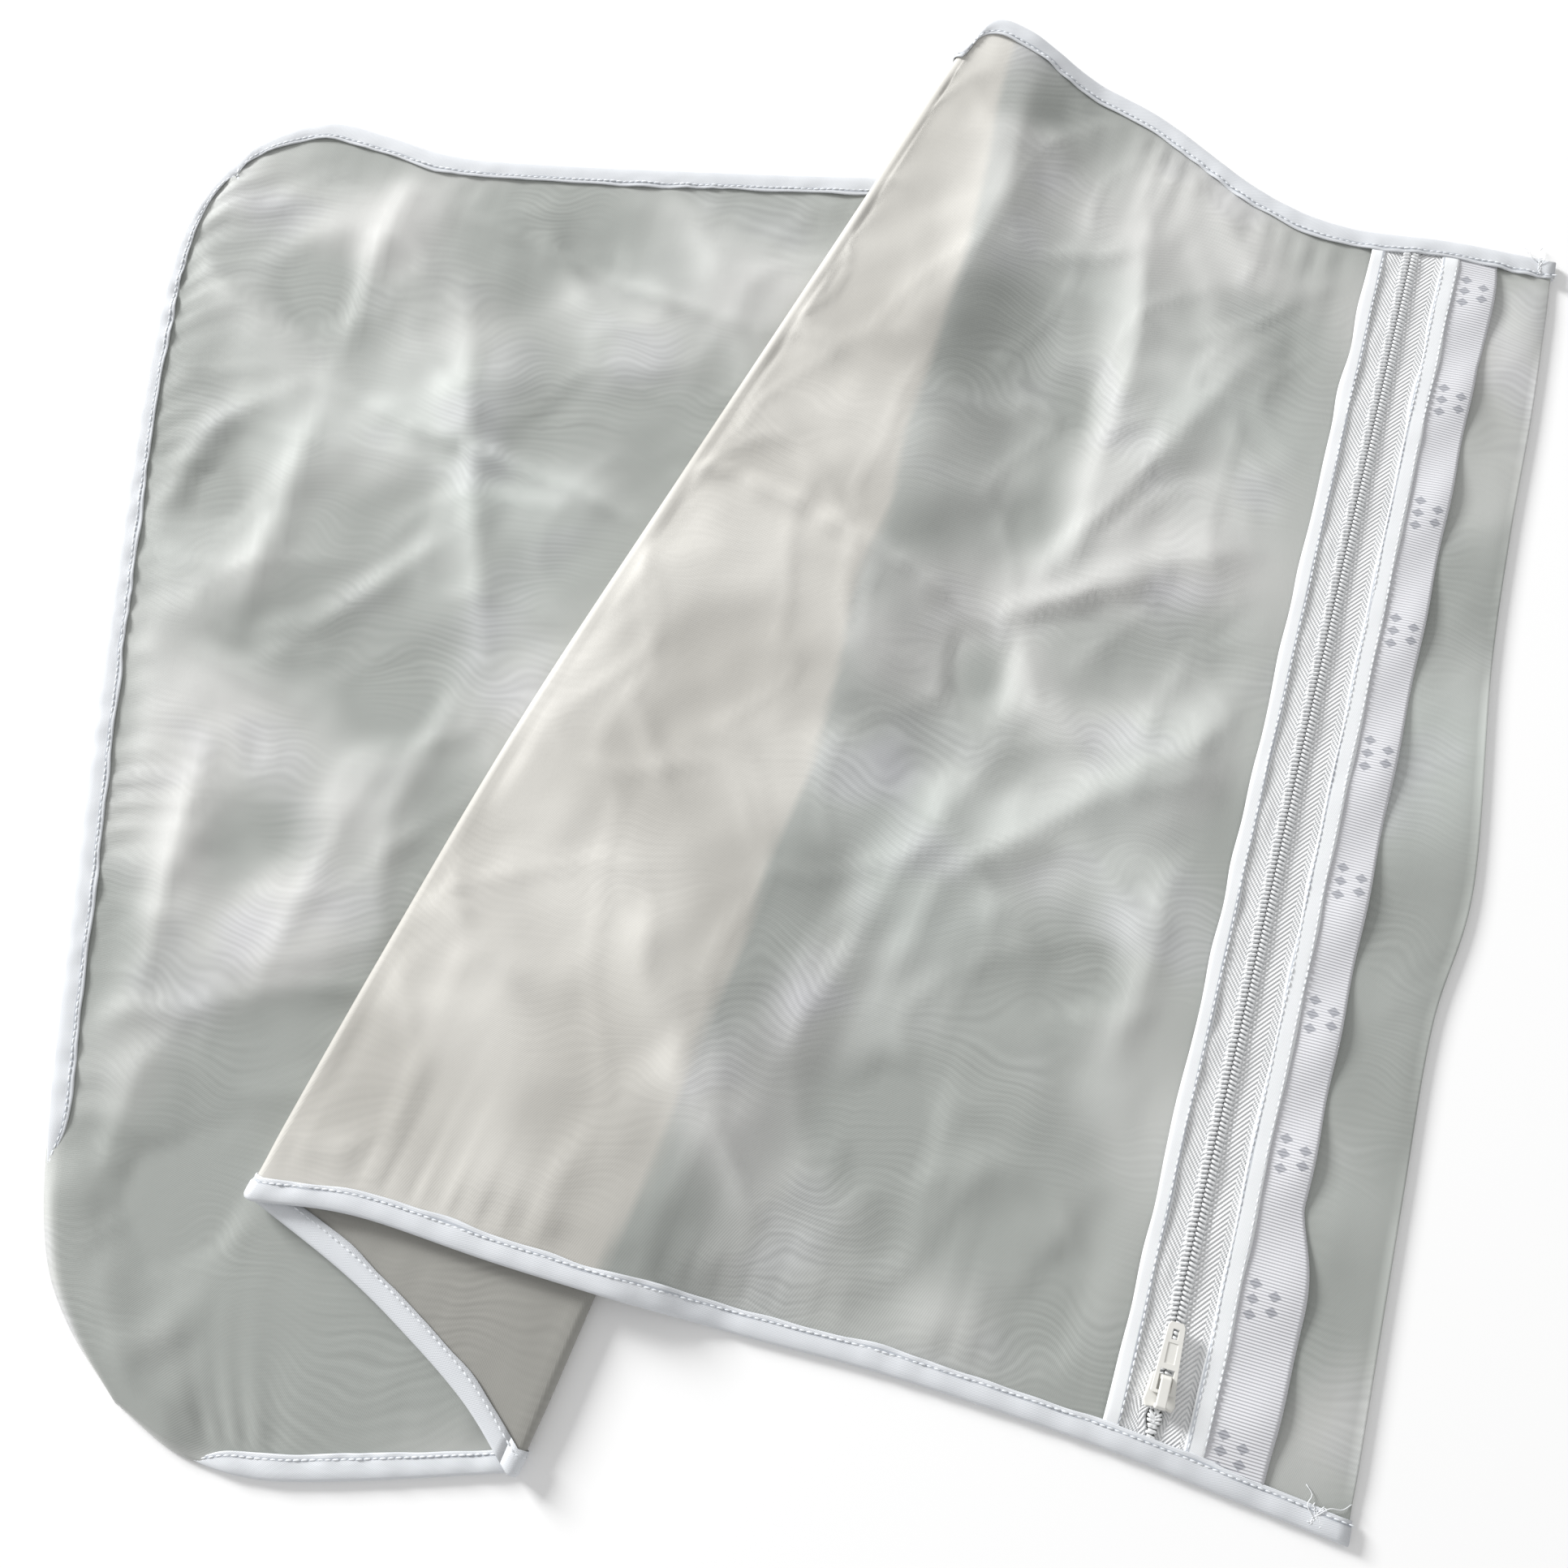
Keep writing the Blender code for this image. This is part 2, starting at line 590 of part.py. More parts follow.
def build_pull(looks, frame):
    """The pull: a tapering tab with two legs, a cross bar and a small window at its tip."""
    origin = frame[0] + np.array([0, 0, PIVOT_LEVEL])
    low, high = PULL_LEVELS[0] - PIVOT_LEVEL, PULL_LEVELS[1] - PIVOT_LEVEL
    place = (origin, frame[1], frame[2])
    outline = [(-2.0, -PULL_LENGTH), (2.0, -PULL_LENGTH), (2.7, -PULL_LENGTH + 1.2), (3.9, 0.2), (3.4, 0.6), (-3.4, 0.6), (-3.9, 0.2), (-2.7, -PULL_LENGTH + 1.2)]
    pull = slab("pull_tab", outline, (low, high), looks["slider"], place)
    throat = helper(slab("throat", box_outline(-2.3, 2.3, -7.2, -0.5), (low - 1, high + 1), looks["slider"], place))
    window = helper(slab("window", box_outline(-1.0, 1.0, -19.8, -16.6), (low - 1, high + 1), looks["slider"], place))
    groove = helper(slab("groove", box_outline(-1.6, 1.6, -15.4, -9.0), (high - 0.25, high + 1), looks["slider"], place))
    for cutter in (throat, window, groove):
        made = pull.modifiers.new("cut_" + cutter.name, "BOOLEAN")
        made.operation = "DIFFERENCE"
        made.solver = "EXACT"
        made.object = cutter
    made = pull.modifiers.new("rounded", "BEVEL")
    made.width = 0.00018
    made.segments = 1
    made.limit_method = "ANGLE"
    return pull


def centre_on_origin():
    """Moves every object so that the whole stands with the middle of its underside on the origin."""
    bpy.context.view_layer.update()
    graph = bpy.context.evaluated_depsgraph_get()
    low, high = np.full(3, np.inf), np.full(3, -np.inf)
    for obj in bpy.data.objects:
        if obj.hide_render:
            continue
        mesh = obj.evaluated_get(graph).to_mesh()
        points = np.array([obj.matrix_world @ v.co for v in mesh.vertices])
        low, high = np.minimum(low, points.min(axis=0)), np.maximum(high, points.max(axis=0))
    move = -np.array([(low[0] + high[0]) / 2, (low[1] + high[1]) / 2, low[2]])
    for obj in bpy.data.objects:
        obj.location = np.array(obj.location) + move


def looks():
    return {
        "mesh": material("mesh_cloth", (0.74, 0.75, 0.73), 0.7),
        "tape": material("satin_tape", (0.86, 0.88, 0.90), 0.5),
        "zip_tape": material("zip_tape_cloth", (0.84, 0.86, 0.87), 0.75),
        "coil": material("coil_nylon", (0.90, 0.90, 0.90), 0.35),
        "facing": material("facing_cloth", (0.87, 0.89, 0.91), 0.55),
        "ribbon": material("grosgrain", (0.80, 0.80, 0.82), 0.6),
        "slider": material("painted_slider", (0.86, 0.85, 0.81), 0.35),
        "spring": material("spring_steel", (0.55, 0.55, 0.55), 0.3, metallic=1.0),
    }


def own_material(obj):
    obj.data.materials[0] = obj.data.materials[0].copy()
    obj.data.materials[0].name = obj.name + "_look"


def main():
    clear_scene()
    made = looks()
    rows, normals, marks = lay_out()
    build_panels(rows, normals, marks, made)
    build_edge_tape(rows, normals, made)
    build_zip(rows, made)
    build_slider(made)
    for obj in bpy.data.objects:
        own_material(obj)
    centre_on_origin()


main()
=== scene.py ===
"""A zipped two-ply mesh laundry bag, folded twice across its length and lying flat.

The bag is one surface between its two plies, laid out from the rounded end through two
folds to the zip end. Lengths are in millimetres until they reach Blender.
"""

import logging
import math
from dataclasses import dataclass, field
from enum import Enum
from typing import Optional, Sequence

import bmesh
import bpy
import numpy as np
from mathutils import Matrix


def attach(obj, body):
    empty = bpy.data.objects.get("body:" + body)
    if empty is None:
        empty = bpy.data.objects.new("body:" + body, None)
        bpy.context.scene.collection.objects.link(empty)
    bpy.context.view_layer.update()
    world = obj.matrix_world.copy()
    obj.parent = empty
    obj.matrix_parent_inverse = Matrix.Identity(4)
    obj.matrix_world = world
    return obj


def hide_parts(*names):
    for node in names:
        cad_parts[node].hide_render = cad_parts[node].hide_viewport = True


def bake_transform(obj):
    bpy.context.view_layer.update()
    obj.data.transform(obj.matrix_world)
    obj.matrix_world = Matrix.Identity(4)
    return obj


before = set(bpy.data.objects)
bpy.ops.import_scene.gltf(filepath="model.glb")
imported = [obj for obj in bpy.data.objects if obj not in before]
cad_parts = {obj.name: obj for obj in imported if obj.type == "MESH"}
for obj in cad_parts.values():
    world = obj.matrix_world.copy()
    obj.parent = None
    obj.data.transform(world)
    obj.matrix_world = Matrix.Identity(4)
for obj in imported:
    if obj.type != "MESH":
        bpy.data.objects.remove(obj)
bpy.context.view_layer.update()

Array = np.ndarray
Curve = tuple[tuple[float, float], ...]
Socket = bpy.types.NodeSocket
log = logging.getLogger("laundry_bag")

SHIFT = np.array([0.5384, 0.0998, 0.0])
UP = np.array([0.0, 0.0, 1.0])


class Body(Enum):
    """The bodies that pieces ride on."""

    BAG = "bag"
    RIBBON = "ribbon_flap"
    SLIDER = "slider"
    PULL = "pull"


class Side(Enum):
    """The two sides of the zip, as seen with its top end away."""

    LEFT = -1
    RIGHT = 1


# ---------------------------------------------------------------- curves


def ease(value: Array) -> Array:
    """A smooth step from 0 to 1.

    Args:
        value: Numbers, where 0 and 1 are the ends of the step.

    Returns:
        The eased numbers, held to 0 and 1 outside the step.
    """
    value = np.clip(value, 0, 1)
    return value * value * (3 - 2 * value)


def run_of(points: Array) -> Array:
    """Distance walked along a line of points.

    Args:
        points: The points, one a row.

    Returns:
        The distance at each point, from 0.
    """
    return np.concatenate([[0], np.cumsum(np.linalg.norm(np.diff(points, axis=0), axis=1))])


def spaced(dense: Array, count: int) -> Array:
    """A line of points cut into equal steps.

    Args:
        dense: The line's points.
        count: How many points to return.

    Returns:
        The evenly spaced points.
    """
    run = run_of(dense)
    wanted = np.linspace(0, run[-1], count)
    return np.stack([np.interp(wanted, run, dense[:, k]) for k in range(dense.shape[1])], axis=1)


def smooth(points: Sequence, count: int) -> Array:
    """A smooth curve through points, cut into equal steps.

    Args:
        points: The points to pass through.
        count: How many points to return.

    Returns:
        Points on the curve.
    """
    points = np.asarray(points, dtype=float)
    padded = np.vstack([2 * points[0] - points[1], points, 2 * points[-1] - points[-2]])
    dense = []
    for i in range(len(points) - 1):
        a, b, c, d = padded[i : i + 4]
        t = np.linspace(0, 1, 24, endpoint=False)[:, None]
        square, cube = (2 * a - 5 * b + 4 * c - d) * t**2, (3 * b - a - 3 * c + d) * t**3
        dense.append(0.5 * (2 * b + (c - a) * t + square + cube))
    dense.append(points[-1:])
    return spaced(np.vstack(dense), count)


def sideways(curve: Array) -> Array:
    """Unit vectors square to a curve, towards the zip end of the folded bag.

    Args:
        curve: The curve's points.

    Returns:
        One vector for each point.
    """
    along = np.gradient(curve, axis=0)
    along /= np.linalg.norm(along, axis=1)[:, None]
    return np.stack([-along[:, 1], along[:, 0]], axis=1)


def coons(start: Array, end: Array, top: Array, bottom: Array) -> Array:
    """Rows of points that fill the patch between four curves.

    Args:
        start: The first row.
        end: The last row.
        top: The first column.
        bottom: The last column.

    Returns:
        The patch, rows by columns.
    """
    u = np.linspace(0, 1, len(top))[:, None, None]
    v = np.linspace(0, 1, len(start))[None, :, None]
    ruled_u = (1 - u) * start[None] + u * end[None]
    ruled_v = (1 - v) * top[:, None] + v * bottom[:, None]
    first = (1 - u) * ((1 - v) * start[0] + v * start[-1])
    return ruled_u + ruled_v - first - u * ((1 - v) * end[0] + v * end[-1])


def fitted(curve: Array, first: Array, last: Array) -> Array:
    """A curve moved a little so that its ends meet two points.

    Args:
        curve: The curve's points.
        first: Where it must start.
        last: Where it must end.

    Returns:
        The moved curve.
    """
    t = np.linspace(0, 1, len(curve))[:, None]
    return curve + (1 - t) * (first - curve[0]) + t * (last - curve[-1])


def signed_distance(points: Array, curve: Array) -> Array:
    """How far points lie beyond a curve, towards the zip end.

    Args:
        points: Points of any shape, x and y last.
        curve: The curve.

    Returns:
        The distance of each, negative before the curve.
    """
    flat = points.reshape(-1, 2)
    gap = flat[:, None, :] - curve[None]
    nearest = np.argmin((gap**2).sum(axis=2), axis=1)
    beyond = gap[np.arange(len(flat)), nearest]
    return (beyond * sideways(curve)[nearest]).sum(axis=1).reshape(points.shape[:-1])


def along_line(points: Array, line: Array) -> tuple[Array, Array]:
    """Distance from points to a line, and how far along it their nearest points are.

    Args:
        points: Points, x and y last.
        line: The line's corners.

    Returns:
        The distances, and the places from 0 to 1.
    """
    best, place = np.full(points.shape[:-1], np.inf), np.zeros(points.shape[:-1])
    run = run_of(line)
    for k, (a, b) in enumerate(zip(line, line[1:])):
        step = b - a
        t = np.clip(((points - a) @ step) / (step @ step), 0, 1)
        gap = np.linalg.norm(points - a - t[..., None] * step, axis=-1)
        place = np.where(gap < best, (run[k] + t * (run[k + 1] - run[k])) / run[-1], place)
        best = np.minimum(best, gap)
    return best, place


def soft_noise(points: Array, size: float, seed: int, waves: int = 14) -> Array:
    """Slow, even noise from seeded waves.

    Args:
        points: Points, x and y last.
        size: The usual length of a wave.
        seed: The seed.
        waves: How many waves are added.

    Returns:
        Noise with a spread of about 1.
    """
    dice = np.random.default_rng(seed)
    total = np.zeros(points.shape[:-1])
    for _ in range(waves):
        turn, start = dice.uniform(0, 2 * math.pi, 2)
        pitch = size * dice.uniform(0.65, 1.6)
        way = np.array([math.cos(turn), math.sin(turn)]) * 2 * math.pi / pitch
        total += np.sin(points @ way + start)
    return total / math.sqrt(waves / 2)


# ---------------------------------------------------------------- meshes


def grid_faces(rows: int, columns: int) -> list[list[int]]:
    """Faces of a closed slab whose top and bottom are grids of points.

    Args:
        rows: Rows in each grid.
        columns: Columns in each grid.

    Returns:
        The faces, the top grid's points first.
    """
    under, faces = rows * columns, []
    for i in range(rows - 1):
        for j in range(columns - 1):
            k = i * columns + j
            faces.append([k, k + 1, k + 1 + columns, k + columns])
            faces.append([under + k + columns, under + k + 1 + columns, under + k + 1, under + k])
    rim = list(range(columns)) + [i * columns + columns - 1 for i in range(1, rows)]
    rim += [(rows - 1) * columns + j for j in range(columns - 2, -1, -1)]
    rim += [i * columns for i in range(rows - 2, 0, -1)]
    faces += [[a, a + under, b + under, b] for a, b in zip(rim, rim[1:] + rim[:1])]
    return faces


def piece_of(
    name: str,
    points: Array,
    faces: list[list[int]],
    look: Optional[bpy.types.Material] = None,
    uv: Optional[Array] = None,
    marks: Optional[dict[str, Array]] = None,
) -> bpy.types.Object:
    """A closed piece at the origin, its faces outwards.

    Args:
        name: The piece's name.
        points: Its points in millimetres, before the bag is centred.
        faces: Its faces.
        look: Its material.
        uv: A place on the cloth for each point, in millimetres.
        marks: Numbers for each point that the material reads, by name.

    Returns:
        The object.
    """
    mesh = bpy.data.meshes.new(name)
    mesh.from_pydata(((np.asarray(points) + SHIFT) * 0.001).tolist(), [], faces)
    shape = bmesh.new()
    shape.from_mesh(mesh)
    bmesh.ops.recalc_face_normals(shape, faces=shape.faces)
    shape.to_mesh(mesh)
    shape.free()
    mesh.polygons.foreach_set("use_smooth", [True] * len(mesh.polygons))
    if uv is not None:
        corner = np.empty(len(mesh.loops), dtype=np.int32)
        mesh.loops.foreach_get("vertex_index", corner)
        mesh.uv_layers.new(name="cloth").data.foreach_set("uv", np.asarray(uv)[corner].ravel())
    for key, values in (marks or {}).items():
        made = mesh.attributes.new(key, "FLOAT", "POINT")
        made.data.foreach_set("value", np.asarray(values, dtype=np.float32).ravel())
    obj = bpy.data.objects.new(name, mesh)
    bpy.context.scene.collection.objects.link(obj)
    if look:
        mesh.materials.append(look)
    return obj


def slab_of(
    name: str,
    grid: Array,
    normal: Array,
    thick: float,
    look: bpy.types.Material,
    uv: Array,
    marks: Optional[dict[str, Array]] = None,
) -> bpy.types.Object:
    """A closed sheet of even thickness round a grid of points.

    Args:
        name: The piece's name.
        grid: Rows by columns of points.
        normal: The way that its upper side faces at each point.
        thick: Its thickness.
        look: Its material.
        uv: A place on the cloth for each point of the grid.
        marks: Numbers for each point of the grid, by name.

    Returns:
        The object.
    """
    half = normal * thick / 2
    points = np.concatenate([(grid + half).reshape(-1, 3), (grid - half).reshape(-1, 3)])
    both = np.tile(uv.reshape(-1, 2), (2, 1))
    doubled = {key: np.tile(np.asarray(v).ravel(), 2) for key, v in (marks or {}).items()}
    return piece_of(name, points, grid_faces(*grid.shape[:2]), look, both, doubled)


def dress(obj: bpy.types.Object, body: Body, slot: str, *nodes: str) -> bpy.types.Object:
    """Puts a piece on its body and hides the CAD nodes that it replaces.

    Args:
        obj: The piece.
        body: What it moves with.
        slot: Not used.
        nodes: The CAD nodes that it replaces.

    Returns:
        The piece.
    """
    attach(obj, body.value)
    if nodes:
        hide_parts(*nodes)
    log.info("%s: %d faces", obj.name, len(obj.data.polygons))
    return obj


# ---------------------------------------------------------------- repeated shapes


class Repeater:
    """Copies of a small shape at even steps along a path, made by Geometry Nodes."""

    def __init__(self) -> None:
        """Builds the tree once."""
        tree = bpy.data.node_groups.new("repeat_along_path", "GeometryNodeTree")
        face = tree.interface
        for name, kind in (
            ("Path", "NodeSocketGeometry"),
            ("Item", "NodeSocketObject"),
            ("Pitch", "NodeSocketFloat"),
            ("Jitter", "NodeSocketFloat"),
            ("Seed", "NodeSocketInt"),
            ("Look", "NodeSocketMaterial"),
        ):
            face.new_socket(name, in_out="INPUT", socket_type=kind)
        face.new_socket("Copies", in_out="OUTPUT", socket_type="NodeSocketGeometry")
        self.tree = tree
        self._wire()

    def _wire(self) -> None:
        """Adds the tree's nodes and links."""
        add, link = self.tree.nodes.new, self.tree.links.new
        start, end = add("NodeGroupInput"), add("NodeGroupOutput")
        curve = add("GeometryNodeMeshToCurve")
        cut = add("GeometryNodeResampleCurve")
        cut.mode = "LENGTH"
        link(start.outputs["Path"], curve.inputs[0])
        link(curve.outputs[0], cut.inputs["Curve"])
        link(start.outputs["Pitch"], cut.inputs["Length"])
        first, second = add("FunctionNodeAlignRotationToVector"), add("FunctionNodeAlignRotationToVector")
        first.axis = "X"
        second.axis, second.pivot_axis = "Z", "X"
        link(add("GeometryNodeInputTangent").outputs[0], first.inputs["Vector"])
        link(first.outputs[0], second.inputs["Rotation"])
        upward = add("GeometryNodeInputNamedAttribute")
        upward.data_type = "FLOAT_VECTOR"
        upward.inputs["Name"].default_value = "upward"
        link(upward.outputs["Attribute"], second.inputs["Vector"])
        chance = add("FunctionNodeRandomValue")
        chance.data_type = "FLOAT"
        chance.inputs[2].default_value, chance.inputs[3].default_value = -1.0, 1.0
        link(start.outputs["Seed"], chance.inputs["Seed"])
        size = add("ShaderNodeMath")
        size.operation = "MULTIPLY_ADD"
        link(chance.outputs[1], size.inputs[0])
        link(start.outputs["Jitter"], size.inputs[1])
        size.inputs[2].default_value = 1.0
        item = add("GeometryNodeObjectInfo")
        link(start.outputs["Item"], item.inputs["Object"])
        place = add("GeometryNodeInstanceOnPoints")
        link(cut.outputs[0], place.inputs["Points"])
        link(item.outputs["Geometry"], place.inputs["Instance"])
        link(second.outputs[0], place.inputs["Rotation"])
        link(size.outputs[0], place.inputs["Scale"])
        real, look = add("GeometryNodeRealizeInstances"), add("GeometryNodeSetMaterial")
        link(place.outputs[0], real.inputs[0])
        link(real.outputs[0], look.inputs["Geometry"])
        link(start.outputs["Look"], look.inputs["Material"])
        link(look.outputs[0], end.inputs["Copies"])

    def copies(
        self,
        name: str,
        paths: list[tuple[Array, Array]],
        item: bpy.types.Object,
        pitch: float,
        look: bpy.types.Material,
        jitter: float = 0.0,
        seed: int = 1,
    ) -> bpy.types.Object:
        """One plain piece that holds every copy.

        Args:
            name: The piece's name.
            paths: Points in millimetres and the upward vector at each, for every row.
            item: The shape to repeat, in metres about the origin, its length along X.
            pitch: The step in millimetres.
            look: The material.
            jitter: How much the copies' sizes differ, as a share.
            seed: The seed of those sizes.

        Returns:
            The object, its modifier gone.
        """
        points = np.concatenate([p for p, _ in paths])
        upward = np.concatenate([n for _, n in paths])
        edges, base = [], 0
        for p, _ in paths:
            edges += [(base + k, base + k + 1) for k in range(len(p) - 1)]
            base += len(p)
        mesh = bpy.data.meshes.new(name)
        mesh.from_pydata(((points + SHIFT) * 0.001).tolist(), edges, [])
        mesh.attributes.new("upward", "FLOAT_VECTOR", "POINT").data.foreach_set(
            "vector", upward.astype(np.float32).ravel()
        )
        obj = bpy.data.objects.new(name, mesh)
        bpy.context.scene.collection.objects.link(obj)
        made = obj.modifiers.new("copies", "NODES")
        made.node_group = self.tree
        values = {"Item": item, "Pitch": pitch * 0.001, "Jitter": jitter, "Seed": seed, "Look": look}
        for entry in self.tree.interface.items_tree:
            if entry.name in values:
                made[entry.identifier] = values[entry.name]
        graph = bpy.context.evaluated_depsgraph_get()
        result = bpy.data.meshes.new_from_object(obj.evaluated_get(graph))
        obj.modifiers.clear()
        obj.data = result
        bpy.data.objects.remove(item, do_unlink=True)
        return obj


def item_of(shape: bmesh.types.BMesh) -> bpy.types.Object:
    """Turns a shape into a smooth object that the repeater copies, and frees the shape."""
    mesh = bpy.data.meshes.new("item")
    bmesh.ops.recalc_face_normals(shape, faces=shape.faces)
    for face in shape.faces:
        face.smooth = True
    shape.to_mesh(mesh)
    shape.free()
    obj = bpy.data.objects.new("item", mesh)
    bpy.context.scene.collection.objects.link(obj)
    return obj


def bead(length: float, width: float, height: float, sides: int = 6, rings: int = 4) -> bpy.types.Object:
    """A small rounded shape about the origin, its length along X.

    Args:
        length: Its length in millimetres.
        width: Its width.
        height: Its height.
        sides: Sides round it.
        rings: Rings along it.

    Returns:
        The object, in metres.
    """
    shape = bmesh.new()
    bmesh.ops.create_uvsphere(shape, u_segments=sides, v_segments=rings, radius=0.5)
    for vertex in shape.verts:
        x, y, z = vertex.co
        vertex.co = (z * length * 0.001, x * width * 0.001, -y * height * 0.001)
    return item_of(shape)


# ---------------------------------------------------------------- shader groups


class Wiring:
    """Short calls that add nodes to one tree and link them."""

    def __init__(self, tree: bpy.types.NodeTree) -> None:
        """Keeps the tree."""
        self.tree = tree

    def feed(self, socket: Socket, value: object) -> None:
        """Links a socket to another, or sets its number or colour."""
        if isinstance(value, bpy.types.NodeSocket):
            self.tree.links.new(value, socket)
        elif isinstance(value, tuple) and len(value) == 3 and socket.type == "RGBA":
            socket.default_value = (*value, 1.0)
        else:
            socket.default_value = value

    def node(self, kind: str, settings: Optional[dict] = None, **inputs: object) -> bpy.types.Node:
        """Adds a node.

        Args:
            kind: The node's type.
            settings: Its own properties.
            inputs: Its sockets by name, an underscore standing for a space.

        Returns:
            The node.
        """
        made = self.tree.nodes.new(kind)
        for key, value in (settings or {}).items():
            setattr(made, key, value)
        for key, value in inputs.items():
            self.feed(made.inputs[key.replace("_", " ")], value)
        return made

    def math(self, operation: str, *values: object) -> Socket:
        """The result of a Math node."""
        made = self.tree.nodes.new("ShaderNodeMath")
        made.operation = operation
        for k, value in enumerate(values):
            self.feed(made.inputs[k], value)
        return made.outputs[0]

    def mixed(self, share: object, a: object, b: object, blend: str = "MIX") -> Socket:
        """The colour between two colours."""
        made = self.tree.nodes.new("ShaderNodeMix")
        made.data_type, made.blend_type = "RGBA", blend
        for k, value in ((0, share), (6, a), (7, b)):
            self.feed(made.inputs[k], value)
        return made.outputs[2]

    def group(self, tree: bpy.types.NodeTree, **inputs: object) -> bpy.types.Node:
        """Adds a node group."""
        return self.node("ShaderNodeGroup", {"node_tree": tree}, **inputs)

    def wave(self, value: object, pitch: object) -> Socket:
        """A sine from -1 to 1 that repeats at a pitch."""
        turns = self.math("MULTIPLY", self.math("DIVIDE", value, pitch), 2 * math.pi)
        return self.math("SINE", turns)


def shader_group(name: str, inputs: Sequence[str], outputs: Sequence[str]) -> tuple:
    """An empty shader group.

    Args:
        name: Its name.
        inputs: The names of its number inputs. One called Vector is a vector.
        outputs: The names of its number outputs.

    Returns:
        The tree, its wiring, its input node and its output node.
    """
    tree = bpy.data.node_groups.new(name, "ShaderNodeTree")
    for key in inputs:
        kind = "NodeSocketVector" if key == "Vector" else "NodeSocketFloat"
        tree.interface.new_socket(key, in_out="INPUT", socket_type=kind)
    for key in outputs:
        tree.interface.new_socket(key, in_out="OUTPUT", socket_type="NodeSocketFloat")
    wiring = Wiring(tree)
    return tree, wiring, tree.nodes.new("NodeGroupInput"), tree.nodes.new("NodeGroupOutput")


